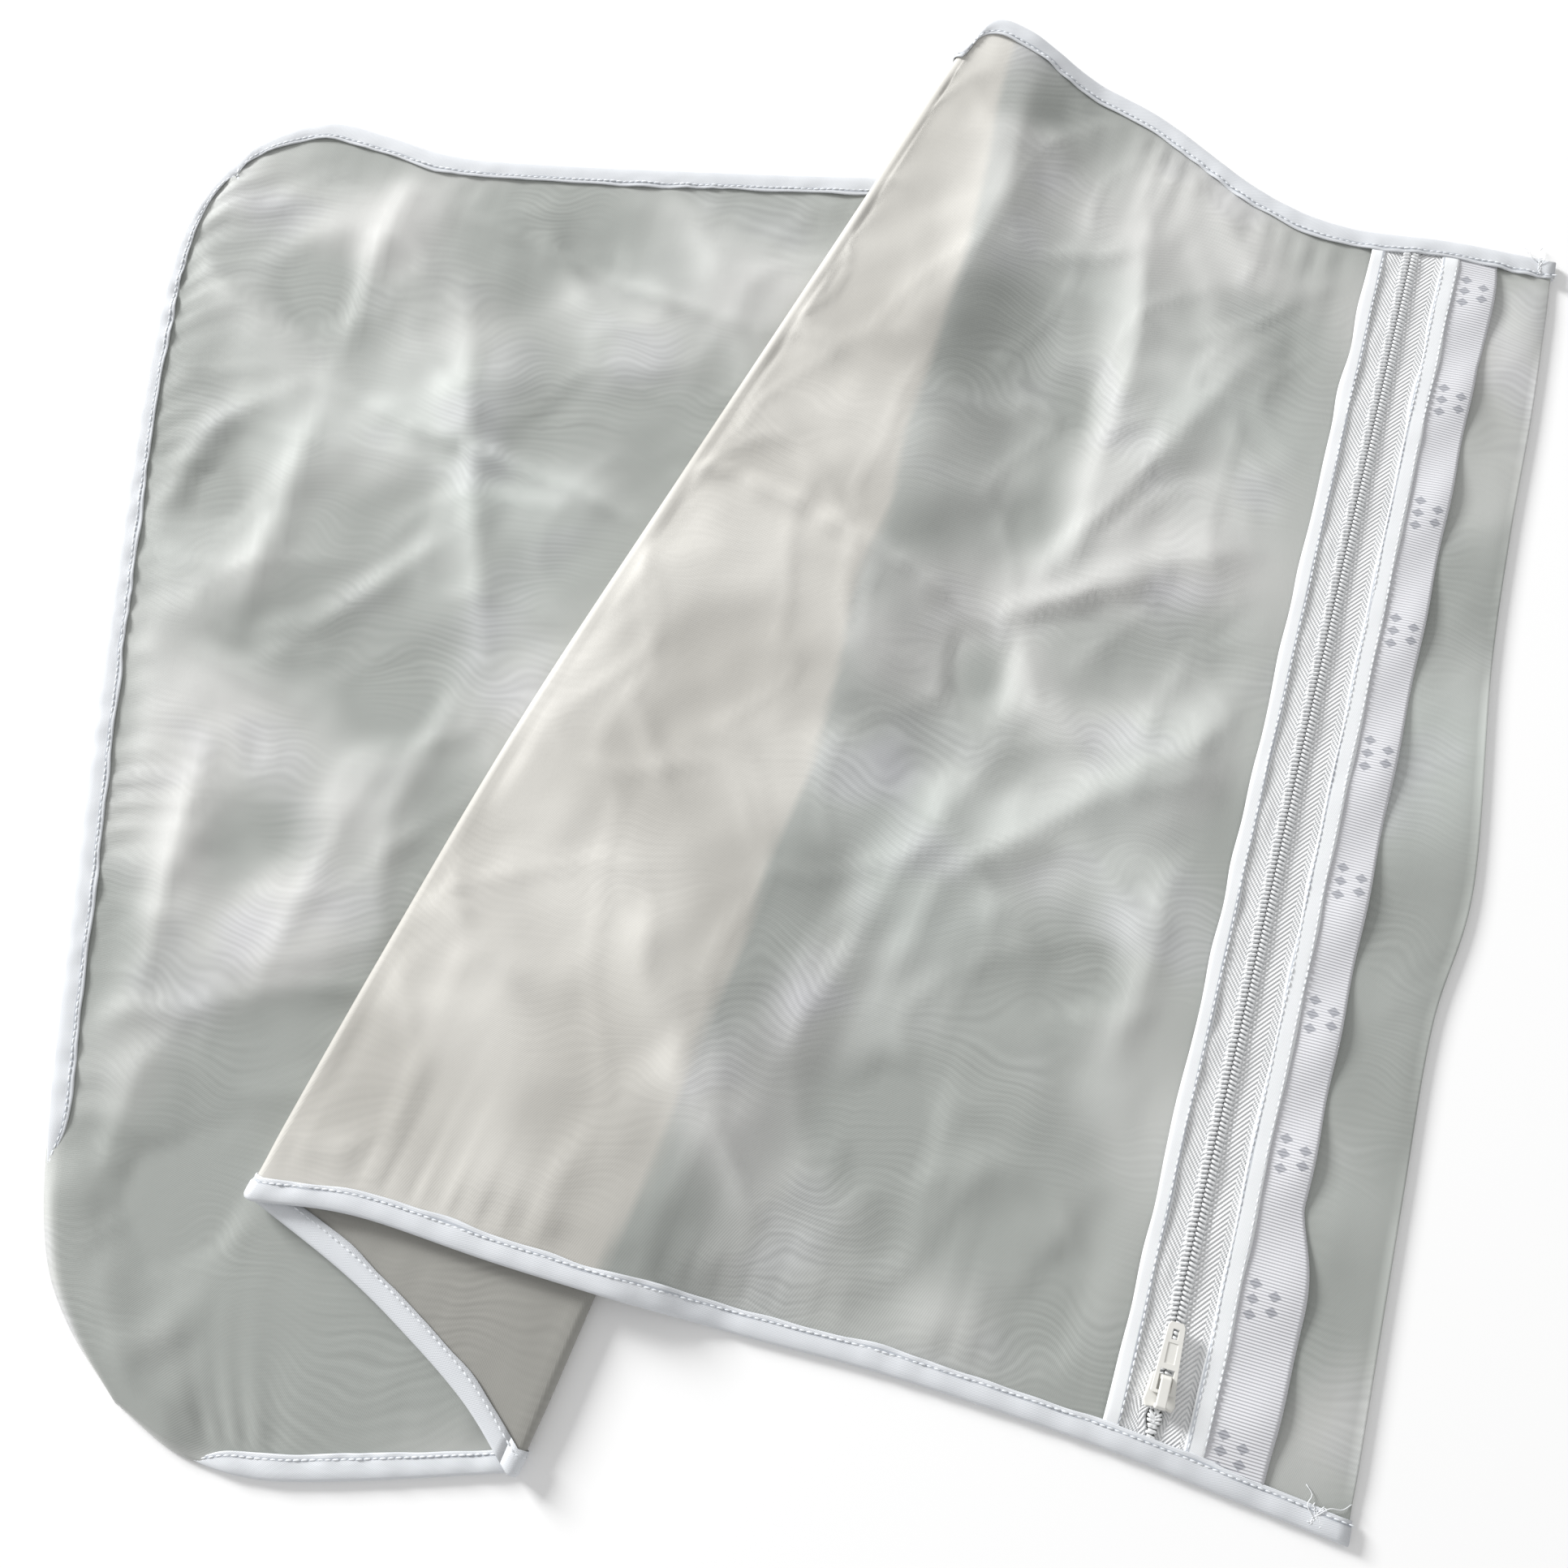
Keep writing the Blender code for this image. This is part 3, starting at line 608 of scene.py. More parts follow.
class Effects:
    """The shader groups that several finishes share."""

    def __init__(self) -> None:
        """Builds every group once."""
        self.weave = self._weave()
        self.herringbone = self._herringbone()
        self.mottle = self._mottle()
        self.ripple = self._ripple()
        self.print = self._print()

    @staticmethod
    def _weave() -> bpy.types.NodeTree:
        """A plain weave: threads over and under at one pitch each way."""
        tree, w, start, end = shader_group("weave", ("Across", "Along", "Warp", "Weft"), ("Height", "Tone"))
        a = w.wave(start.outputs["Across"], start.outputs["Warp"])
        b = w.wave(start.outputs["Along"], start.outputs["Weft"])
        cross = w.math("MULTIPLY", a, b)
        height = w.math("MULTIPLY_ADD", w.math("ADD", cross, w.math("ABSOLUTE", a)), 0.4, 0.4)
        w.feed(end.inputs["Height"], height)
        w.feed(end.inputs["Tone"], w.math("MULTIPLY_ADD", cross, 0.5, 0.5))
        return tree

    @staticmethod
    def _herringbone() -> bpy.types.NodeTree:
        """Slanted ribs that turn back at each column."""
        names = ("Across", "Along", "Column", "Pitch", "Slope")
        tree, w, start, end = shader_group("herringbone", names, ("Height", "Tone"))
        o = start.outputs
        fold = w.math("MULTIPLY", w.math("PINGPONG", o["Across"], o["Column"]), o["Slope"])
        rib = w.wave(w.math("ADD", o["Along"], fold), o["Pitch"])
        seam = w.math("PINGPONG", o["Across"], w.math("MULTIPLY", o["Column"], 0.5))
        groove = w.math("MINIMUM", w.math("DIVIDE", seam, 0.5), 1.0)
        thread = w.wave(w.math("SUBTRACT", o["Along"], fold), w.math("MULTIPLY", o["Pitch"], 0.55))
        height = w.math("MULTIPLY_ADD", rib, 0.5, w.math("MULTIPLY", thread, 0.14))
        w.feed(end.inputs["Height"], w.math("ADD", height, w.math("MULTIPLY", groove, 0.1)))
        w.feed(end.inputs["Tone"], w.math("MULTIPLY_ADD", rib, 0.5, 0.5))
        return tree

    @staticmethod
    def _mottle() -> bpy.types.NodeTree:
        """Slow and middling patches of tone, from noise in space."""
        tree, w, start, end = shader_group("mottle", ("Vector", "Scale"), ("Slow", "Patch", "Fine"))
        for key, share, seed in (("Slow", 1.0, 0.0), ("Patch", 2.9, 3.7), ("Fine", 22.0, 8.1)):
            moved = w.node("ShaderNodeVectorMath", {"operation": "ADD"})
            w.feed(moved.inputs[0], start.outputs["Vector"])
            moved.inputs[1].default_value = (seed, seed, 0.0)
            scale = w.math("MULTIPLY", start.outputs["Scale"], share)
            noise = w.node("ShaderNodeTexNoise", Vector=moved.outputs[0], Scale=scale, Detail=2.0)
            w.feed(end.inputs[key], noise.outputs[0])
        return tree

    @staticmethod
    def _ripple() -> bpy.types.NodeTree:
        """The faint bands where two meshes lie over each other."""
        tree, w, start, end = shader_group("ripple", ("Turns", "Break"), ("Band",))
        o = start.outputs
        band = w.math("SINE", w.math("MULTIPLY", o["Turns"], 2 * math.pi))
        second = w.math("SINE", w.math("MULTIPLY_ADD", o["Turns"], 2 * math.pi * 0.53, 1.7))
        both = w.math("MULTIPLY_ADD", second, 0.45, w.math("MULTIPLY", band, 0.75))
        clear = w.node("ShaderNodeMapRange", Value=o["Break"], From_Min=0.42, From_Max=0.64)
        w.feed(end.inputs["Band"], w.math("MULTIPLY", both, clear.outputs[0]))
        return tree

    @staticmethod
    def _print() -> bpy.types.NodeTree:
        """A plain printed motif of small rhombi: a line of three beside a line of two."""
        names = ("Across", "Along", "Repeat", "Step")
        tree, w, start, end = shader_group("rhombus_print", names, ("Mask",))
        o = start.outputs
        half = w.math("MULTIPLY", o["Repeat"], 0.5)
        cell = w.math("SUBTRACT", w.math("FLOORED_MODULO", o["Along"], o["Repeat"]), half)
        masks = []
        for centre, reach, offset in ((4.6, 1.5, 0.5), (11.2, 1.0, 0.0)):
            shifted = w.math("MULTIPLY_ADD", o["Step"], offset, cell)
            turned = w.math("FLOORED_MODULO", shifted, o["Step"])
            near = w.math("ABSOLUTE", w.math("SUBTRACT", turned, w.math("MULTIPLY", o["Step"], 0.5)))
            aside = w.math("ABSOLUTE", w.math("SUBTRACT", o["Across"], centre))
            span = w.math("ADD", w.math("DIVIDE", near, 2.0), w.math("DIVIDE", aside, 2.5))
            limit = w.math("MULTIPLY", o["Step"], reach)
            inside = w.math("LESS_THAN", w.math("ABSOLUTE", cell), limit)
            edge = w.node("ShaderNodeMapRange", Value=span, From_Min=1.0, From_Max=0.82)
            masks.append(w.math("MULTIPLY", edge.outputs[0], inside))
        w.feed(end.inputs["Mask"], w.math("MAXIMUM", *masks))
        return tree


# ---------------------------------------------------------------- finishes


def blank(name: str) -> tuple[bpy.types.Material, Wiring, bpy.types.Node]:
    """A new material.

    Args:
        name: Its name.

    Returns:
        The material, its wiring and its Principled shader.
    """
    made = bpy.data.materials.new(name)
    made.use_nodes = True
    return made, Wiring(made.node_tree), made.node_tree.nodes["Principled BSDF"]


def set_constants(w: Wiring, shader: bpy.types.Node, **values: object) -> None:
    """Sets the shader's own sockets."""
    for key, value in values.items():
        w.feed(shader.inputs[key.replace("_", " ")], value)


def cloth_place(w: Wiring) -> tuple[Socket, Socket]:
    """The across and along of the piece's cloth map, in millimetres."""
    uv = w.node("ShaderNodeUVMap", {"uv_map": "cloth"})
    parts = w.node("ShaderNodeSeparateXYZ", Vector=uv.outputs[0])
    return parts.outputs[0], parts.outputs[1]


def bump(w: Wiring, shader: bpy.types.Node, height: Socket, distance: float, strength: float) -> None:
    """Feeds the shader's normal from a height in the given distance, in metres."""
    made = w.node("ShaderNodeBump", Height=height, Distance=distance, Strength=strength)
    w.feed(shader.inputs["Normal"], made.outputs[0])


@dataclass(frozen=True)
class MeshFinish:
    """Fine polyester mesh, greyer where fewer plies lie over each other, with painted shade where it lies
    low, towards the bottom and on the middle section.
    """

    two_ply: tuple = (0.610, 0.612, 0.595)
    green: tuple = (0.520, 0.550, 0.525)
    cool: tuple = (0.585, 0.585, 0.620)
    # Painted shade: the colour laid on where the cloth lies low and towards the bottom.
    shaded: tuple = (0.360, 0.378, 0.358)
    stacked: tuple = (0.715, 0.698, 0.655)
    # Painted shade on the stacked plies.
    stacked_painted_shade: tuple = (0.46, 0.445, 0.41)
    # Painted shadow on fold B and the middle section, which lies partly under the top section.
    middle: tuple = (0.340, 0.335, 0.310)
    pitch: float = 0.62

    def build(self, name: str, effects: Effects) -> bpy.types.Material:
        """The material of one panel."""
        made, w, shader = blank(name)
        across, along = cloth_place(w)
        place = w.node("ShaderNodeTexCoord").outputs["Object"]
        mottle = w.group(effects.mottle, Vector=place, Scale=7.0)
        read = {k: w.node("ShaderNodeAttribute", {"attribute_name": k}).outputs["Fac"]
                for k in ("stacked", "middle", "turns", "painted_shade")}
        green = w.node("ShaderNodeMapRange", Value=mottle.outputs["Slow"], From_Min=0.42, From_Max=0.68)
        cool = w.node("ShaderNodeMapRange", Value=mottle.outputs["Patch"], From_Min=0.52, From_Max=0.72)
        tone = w.mixed(green.outputs[0], self.two_ply, self.green)
        tone = w.mixed(w.math("MULTIPLY", cool.outputs[0], 0.65), tone, self.cool)
        # Painted shade from the mark read above, on the single plies and on the stacked ones.
        tone = w.mixed(read["painted_shade"], tone, self.shaded)
        stack = w.mixed(w.math("MULTIPLY", read["painted_shade"], 0.75), self.stacked, self.stacked_painted_shade)
        tone = w.mixed(w.math("MULTIPLY", read["stacked"], 0.95), tone, stack)
        # Painted shadow on the middle section.
        tone = w.mixed(read["middle"], tone, self.middle)
        ripple = w.group(effects.ripple, Turns=read["turns"], Break=mottle.outputs["Patch"])
        quiet = w.math("MULTIPLY_ADD", read["stacked"], -0.045, 0.070)
        band = w.math("MULTIPLY", ripple.outputs["Band"], quiet)
        weave = w.group(effects.weave, Across=across, Along=along, Warp=self.pitch, Weft=self.pitch)
        thread = w.math("MULTIPLY_ADD", weave.outputs["Tone"], 0.05, 0.975)
        level = w.math("MULTIPLY", w.math("ADD", band, 1.0), thread)
        grey = w.node("ShaderNodeCombineColor", Red=level, Green=level, Blue=level)
        w.feed(shader.inputs["Base Color"], w.mixed(1.0, tone, grey.outputs[0], "MULTIPLY"))
        rough = w.math("MULTIPLY_ADD", mottle.outputs["Fine"], 0.12, 0.50)
        w.feed(shader.inputs["Roughness"], rough)
        set_constants(w, shader, Sheen_Weight=0.25, Sheen_Roughness=0.4, Specular_IOR_Level=0.35)
        crumple = w.math("MULTIPLY", mottle.outputs["Fine"], 0.35)
        bump(w, shader, w.math("MULTIPLY_ADD", weave.outputs["Height"], 0.25, crumple), 0.0004, 0.5)
        return made


@dataclass(frozen=True)
class SatinFinish:
    """Smooth woven tape with a slight lustre, and painted shade in a thin line along each stitch row."""

    colour: tuple = (0.76, 0.78, 0.81)
    shade: tuple = (0.64, 0.67, 0.71)
    roughness: float = 0.42
    rib: float = 0.55
    sewn: tuple = (0.0,)
    # Painted shade along the stitch rows.
    groove: tuple = (0.42, 0.45, 0.50)

    def build(self, name: str, effects: Effects) -> bpy.types.Material:
        """The material."""
        made, w, shader = blank(name)
        across, along = cloth_place(w)
        place = w.node("ShaderNodeTexCoord").outputs["Object"]
        mottle = w.group(effects.mottle, Vector=place, Scale=30.0)
        weave = w.group(effects.weave, Across=across, Along=along, Warp=self.rib, Weft=self.rib * 1.6)
        share = w.math("MULTIPLY", mottle.outputs["Patch"], 0.35)
        tone = w.mixed(share, self.colour, self.shade)
        fine = w.math("MULTIPLY", weave.outputs["Tone"], 0.12)
        tone = w.mixed(fine, tone, self.shade)
        # Painted shade: a thin darker line along each sewn row.
        for row in self.sewn:
            gap = w.math("ABSOLUTE", w.math("SUBTRACT", across, row))
            stitch_shade = w.node("ShaderNodeMapRange", Value=gap, From_Min=0.62, From_Max=0.30)
            tone = w.mixed(w.math("MULTIPLY", stitch_shade.outputs[0], 0.75), tone, self.groove)
        w.feed(shader.inputs["Base Color"], tone)
        polish = w.math("MULTIPLY_ADD", mottle.outputs["Fine"], 0.16, self.roughness)
        w.feed(shader.inputs["Roughness"], polish)
        set_constants(w, shader, Sheen_Weight=0.15, Specular_IOR_Level=0.45)
        height = w.math("MULTIPLY_ADD", mottle.outputs["Patch"], 0.5, weave.outputs["Height"])
        bump(w, shader, height, 0.00018, 0.5)
        return made


@dataclass(frozen=True)
class HerringboneFinish:
    """Zip tape woven in slanted ribs that turn back at each column, with painted shade in the valleys between
    the ribs.
    """

    colour: tuple = (0.95, 0.955, 0.96)
    shade: tuple = (0.40, 0.42, 0.44)
    column: float = 6.6
    pitch: float = 1.9
    slope: float = 1.2

    def build(self, name: str, effects: Effects) -> bpy.types.Material:
        """The material."""
        made, w, shader = blank(name)
        across, along = cloth_place(w)
        bone = w.group(effects.herringbone, Across=across, Along=along, Column=self.column,
                       Pitch=self.pitch, Slope=self.slope)
        place = w.node("ShaderNodeTexCoord").outputs["Object"]
        mottle = w.group(effects.mottle, Vector=place, Scale=60.0)
        # Painted shade: the darker colour comes in where the ribs lie lowest.
        shaded = w.node("ShaderNodeMapRange", Value=bone.outputs["Tone"], From_Min=0.50, From_Max=0.05)
        share = w.math("MULTIPLY", shaded.outputs[0], w.math("MULTIPLY_ADD", mottle.outputs["Fine"], 0.5, 0.35))
        w.feed(shader.inputs["Base Color"], w.mixed(share, self.colour, self.shade))
        w.feed(shader.inputs["Roughness"], w.math("MULTIPLY_ADD", bone.outputs["Tone"], -0.15, 0.75))
        set_constants(w, shader, Sheen_Weight=0.2)
        bump(w, shader, bone.outputs["Height"], 0.0005, 0.7)
        return made


@dataclass(frozen=True)
class RibbedFinish:
    """Ribbon with fine cross ribs, painted shade between the ribs, and a small printed motif."""

    colour: tuple = (0.78, 0.78, 0.81)
    shade: tuple = (0.64, 0.65, 0.69)
    ink: tuple = (0.36, 0.37, 0.41)
    rib: float = 1.05
    repeat: float = 48.0
    step: float = 5.0

    def build(self, name: str, effects: Effects) -> bpy.types.Material:
        """The material."""
        made, w, shader = blank(name)
        across, along = cloth_place(w)
        rib = w.wave(along, self.rib)
        # Painted shade: darker in the valleys between the ribs.
        tone = w.mixed(w.math("MULTIPLY_ADD", rib, -0.22, 0.25), self.colour, self.shade)
        printed = w.group(effects.print, Across=across, Along=along, Repeat=self.repeat, Step=self.step)
        place = w.node("ShaderNodeTexCoord").outputs["Object"]
        mottle = w.group(effects.mottle, Vector=place, Scale=40.0)
        worn = w.math("MULTIPLY_ADD", mottle.outputs["Fine"], 0.35, 0.62)
        cover = w.math("MULTIPLY", printed.outputs["Mask"], worn)
        w.feed(shader.inputs["Base Color"], w.mixed(cover, tone, self.ink))
        w.feed(shader.inputs["Roughness"], w.math("MULTIPLY_ADD", printed.outputs["Mask"], -0.08, 0.55))
        set_constants(w, shader, Sheen_Weight=0.15)
        bump(w, shader, rib, 0.00022, 0.7)
        return made


@dataclass(frozen=True)
class PaintedFinish:
    """Thick enamel on cast metal, a little thin and dull on its edges."""

    colour: tuple = (0.80, 0.79, 0.75)
    worn: tuple = (0.62, 0.61, 0.58)
    grime: tuple = (0.48, 0.46, 0.43)
    radius: float = 0.00025

    def build(self, name: str, effects: Effects) -> bpy.types.Material:
        """The material."""
        made, w, shader = blank(name)
        place = w.node("ShaderNodeTexCoord").outputs["Object"]
        mottle = w.group(effects.mottle, Vector=place, Scale=160.0)
        rounded = w.node("ShaderNodeBevel", {"samples": 6}, Radius=self.radius)
        true = w.node("ShaderNodeNewGeometry").outputs["Normal"]
        dot = w.node("ShaderNodeVectorMath", {"operation": "DOT_PRODUCT"})
        w.feed(dot.inputs[0], rounded.outputs[0])
        w.feed(dot.inputs[1], true)
        edge = w.node("ShaderNodeMapRange", Value=dot.outputs["Value"], From_Min=0.985, From_Max=0.86)
        share = w.math("MULTIPLY", edge.outputs[0], mottle.outputs["Patch"])
        tone = w.mixed(share, self.colour, self.worn)
        dirt = w.node("ShaderNodeMapRange", Value=mottle.outputs["Slow"], From_Min=0.6, From_Max=0.85)
        soiled = w.mixed(w.math("MULTIPLY", dirt.outputs[0], 0.3), tone, self.grime)
        w.feed(shader.inputs["Base Color"], soiled)
        w.feed(shader.inputs["Roughness"], w.math("MULTIPLY_ADD", mottle.outputs["Fine"], 0.2, 0.26))
        set_constants(w, shader, Coat_Weight=0.25, Coat_Roughness=0.2)
        skin = w.node("ShaderNodeBump", Height=mottle.outputs["Patch"], Distance=0.0001, Strength=0.4,
                      Normal=rounded.outputs[0])
        w.feed(shader.inputs["Normal"], skin.outputs[0])
        return made


@dataclass(frozen=True)
class PlainFinish:
    """A small part's finish: tone and roughness vary a little over it."""

    colour: tuple
    shade: tuple
    roughness: float = 0.4
    metallic: float = 0.0
    scale: float = 300.0

    def build(self, name: str, effects: Effects) -> bpy.types.Material:
        """The material."""
        made, w, shader = blank(name)
        place = w.node("ShaderNodeTexCoord").outputs["Object"]
        mottle = w.group(effects.mottle, Vector=place, Scale=self.scale)
        w.feed(shader.inputs["Base Color"], w.mixed(mottle.outputs["Patch"], self.colour, self.shade))
        polish = w.math("MULTIPLY_ADD", mottle.outputs["Fine"], 0.2, self.roughness)
        w.feed(shader.inputs["Roughness"], polish)
        set_constants(w, shader, Metallic=self.metallic)
        bump(w, shader, mottle.outputs["Fine"], 0.0001, 0.3)
        return made


# ---------------------------------------------------------------- the bag's surface


@dataclass
class ZipLine:
    """The zip's centre line: across is measured from it, along from its top end."""

    top: Curve = (218.0, 184.0)
    bottom: Curve = (93.0, -240.0)

    def __post_init__(self) -> None:
        """Works out its directions."""
        self.origin = np.array(self.top)
        step = np.array(self.bottom) - self.origin
        self.down = step / np.linalg.norm(step)
        self.right = np.array([-self.down[1], self.down[0]])

    def point(self, across: Array, along: Array, level: Array) -> Array:
        """Points beside the zip."""
        flat = self.origin + np.multiply.outer(across, self.right) + np.multiply.outer(along, self.down)
        return np.concatenate([flat, np.asarray(level)[..., None]], axis=-1)

    def crossing(self, curve: Array, across: float) -> Array:
        """Where a curve meets the line at this distance across."""
        offset = (curve - self.origin) @ self.right - across
        i = int(np.flatnonzero(np.diff(np.sign(offset)))[0])
        t = offset[i] / (offset[i] - offset[i + 1])
        return curve[i] + t * (curve[i + 1] - curve[i])


@dataclass
class Layout:
    """The surface between the plies, as rows from the rounded end to the zip end."""

    end_curve: Curve = ((-246, 216), (-261, 181), (-268, 117), (-271, 21), (-272, -74), (-272, -150),
                        (-268, -190), (-258, -214), (-240, -238))
    low_top: Curve = ((-246, 216), (-228, 231), (-205, 238), (-183, 232), (-157, 223), (-121, 219),
                      (-26, 214), (45, 212))
    low_bottom: Curve = ((-240, -238), (-218, -254), (-194, -261), (-163, -262), (-113, -260))
    fold_b: Curve = ((51, 212), (31, 135), (-8, 8), (-34, -74), (-64, -151), (-110, -260))
    middle_top: Curve = ((51, 212), (53, 242), (46, 270))
    middle_bottom: Curve = ((-110, -260), (-126, -238), (-148, -216), (-170, -197), (-202, -174))
    fold_a: Curve = ((46, 270), (8, 204), (-63, 84), (-118, -10), (-162, -94), (-202, -174))
    high_top: Curve = ((46, 270), (60, 281), (93, 260), (123, 241), (160, 208), (191, 192), (233, 185),
                       (271, 176))
    high_bottom: Curve = ((-202, -174), (-167, -179), (-117, -195), (-44, -216), (6, -229), (69, -249),
                          (114, -266), (150, -280))
    zip_end: Curve = ((271, 176), (255, 112), (241, 62), (228, 9), (213, -70), (194, -117), (178, -175),
                      (150, -280))
    levels: tuple = (1.6, 5.8, 10.0)
    setback: float = 3.0
    mesh_edges: tuple = (-10.2, 12.3)
    steps: tuple = (171, 92, 7, 30, 92, 9, 17)
    zip_line: ZipLine = field(default_factory=ZipLine)

    def __post_init__(self) -> None:
        """Lays the rows out."""
        across, low_n, self.fold_n, mid_n, high_n, band_n, strip_n = self.steps
        n = across + 1
        b, a = smooth(self.fold_b, n), smooth(self.fold_a, n)
        self.line_b, self.line_a = smooth(self.fold_b, 80), smooth(self.fold_a, 80)
        turn_b, turn_a = b - self.setback * sideways(b), a + self.setback * sideways(a)
        end = smooth(self.end_curve, n)
        low = coons(end, turn_b, fitted(smooth(self.low_top, low_n + 1), end[0], turn_b[0]),
                    fitted(smooth(self.low_bottom, low_n + 1), end[-1], turn_b[-1]))
        middle = coons(turn_b, turn_a, fitted(smooth(self.middle_top, mid_n + 1), turn_b[0], turn_a[0]),
                       fitted(smooth(self.middle_bottom, mid_n + 1), turn_b[-1], turn_a[-1]))
        high = self._upper(turn_a, (high_n, band_n, strip_n), n)
        first, second, third = self.levels
        parts = [
            (self._level(low, first), self._facing(low, 1)),
            self._fold(turn_b, sideways(turn_b), first, second, -1),
            (self._level(middle, second), self._facing(middle, -1)),
            self._fold(turn_a, -sideways(turn_a), second, third, 1),
            (high, self.normals_of(high)),
        ]
        sizes = [len(rows) for rows, _ in parts]
        starts = np.concatenate([[0], np.cumsum(sizes)])
        self.rows = np.concatenate([rows for rows, _ in parts])
        self.normals = np.concatenate([normal for _, normal in parts])
        self.low = slice(0, starts[1])
        self.middle = slice(starts[2], starts[3])
        self.high = slice(starts[4], starts[5])
        self.marks = (int(starts[4]) + high_n, int(starts[4]) + high_n + band_n)
        self._measure()

    @staticmethod
    def _level(patch: Array, level: float) -> Array:
        """The patch at one height."""
        return np.concatenate([patch, np.full(patch.shape[:2] + (1,), float(level))], axis=2)

    @staticmethod
    def _facing(patch: Array, way: float) -> Array:
        """Normals of a level patch."""
        return np.broadcast_to(np.array([0.0, 0.0, way]), patch.shape[:2] + (3,))

    @staticmethod
    def normals_of(rows: Array) -> Array:
        """Normals of any rows, on the front side."""
        normal = np.cross(np.gradient(rows, axis=1), np.gradient(rows, axis=0))
        return normal / np.linalg.norm(normal, axis=2)[:, :, None]

    def _fold(self, centre: Array, out: Array, low: float, high: float, side: int) -> tuple:
        """Rows that turn the bag over, half round a level axis, and their normals."""
        rows, normals, radius = [], [], (high - low) / 2
        for angle in np.linspace(-math.pi / 2, math.pi / 2, self.fold_n + 1)[1:-1]:
            level = (low + high) / 2 + radius * math.sin(angle)
            flat = centre + out * radius * math.cos(angle)
            rows.append(np.column_stack([flat, np.full(len(flat), level)]))
            upward = np.full(len(flat), math.sin(angle))
            normals.append(side * np.column_stack([out * math.cos(angle), upward]))
        return np.stack(rows), np.stack(normals)

    @staticmethod
    def _between(curve: Array, first: Array, last: Array, count: int) -> Array:
        """The stretch of a curve between two of its points, in equal steps."""
        i = int(np.argmin(np.linalg.norm(curve - first, axis=1)))
        j = int(np.argmin(np.linalg.norm(curve - last, axis=1)))
        return fitted(spaced(curve[i : j + 1], count), first, last)

    def _upper(self, turn_a: Array, steps: Sequence[int], n: int) -> Array:
        """The section that carries the zip."""
        top = fitted(smooth(self.high_top, 400), turn_a[0], np.array(self.high_top[-1], float))
        bottom = fitted(smooth(self.high_bottom, 400), turn_a[-1], np.array(self.high_bottom[-1], float))
        lines = [turn_a]
        for across in self.mesh_edges:
            ends = (self.zip_line.crossing(top, across), self.zip_line.crossing(bottom, across))
            lines.append(np.linspace(*ends, n))
        lines.append(smooth(self.zip_end, n))
        patches = []
        for first, last, count in zip(lines, lines[1:], steps):
            sides = [self._between(c, first[k], last[k], count + 1) for c, k in ((top, 0), (bottom, -1))]
            patches.append(coons(first, last, *sides))
        flat = np.concatenate([patches[0], patches[1][1:], patches[2][1:]])
        drop = ease((signed_distance(flat, self.line_b) - 2.0) / 43.0)
        level = self.levels[2] + (self.levels[0] - self.levels[2]) * drop
        return np.concatenate([flat, level[:, :, None]], axis=2)

    def _measure(self) -> None:
        """Distances from the edges, and the cloth's own coordinates."""
        rows = self.rows
        side = np.linalg.norm(np.diff(rows, axis=1), axis=2)
        self.across = np.concatenate([np.zeros((len(rows), 1)), np.cumsum(side, axis=1)], axis=1)
        self.from_top, self.from_bottom = self.across, self.across[:, -1:] - self.across
        step = np.linalg.norm(np.diff(rows, axis=0), axis=2)
        self.along = np.concatenate([np.zeros((1, rows.shape[1])), np.cumsum(step, axis=0)])
        self.inward = np.minimum(np.minimum(self.from_top, self.from_bottom), self.along)
        self.uv = np.stack([self.across, self.along], axis=2)
        flat = rows[:, :, :2] - self.zip_line.origin
        self.zip_across, self.zip_along = flat @ self.zip_line.right, flat @ self.zip_line.down
        x, y = rows[:, :, 0], rows[:, :, 1]
        self.tuck = ease((-138 - y) / 52) * ease((-192 - x) / 44)
        self.tuck[self.low.stop :] = 0.0


# ---------------------------------------------------------------- wrinkles


@dataclass(frozen=True)
class Crease:
    """A sharp or broad line pressed into the cloth."""

    line: Curve
    height: float
    width: float


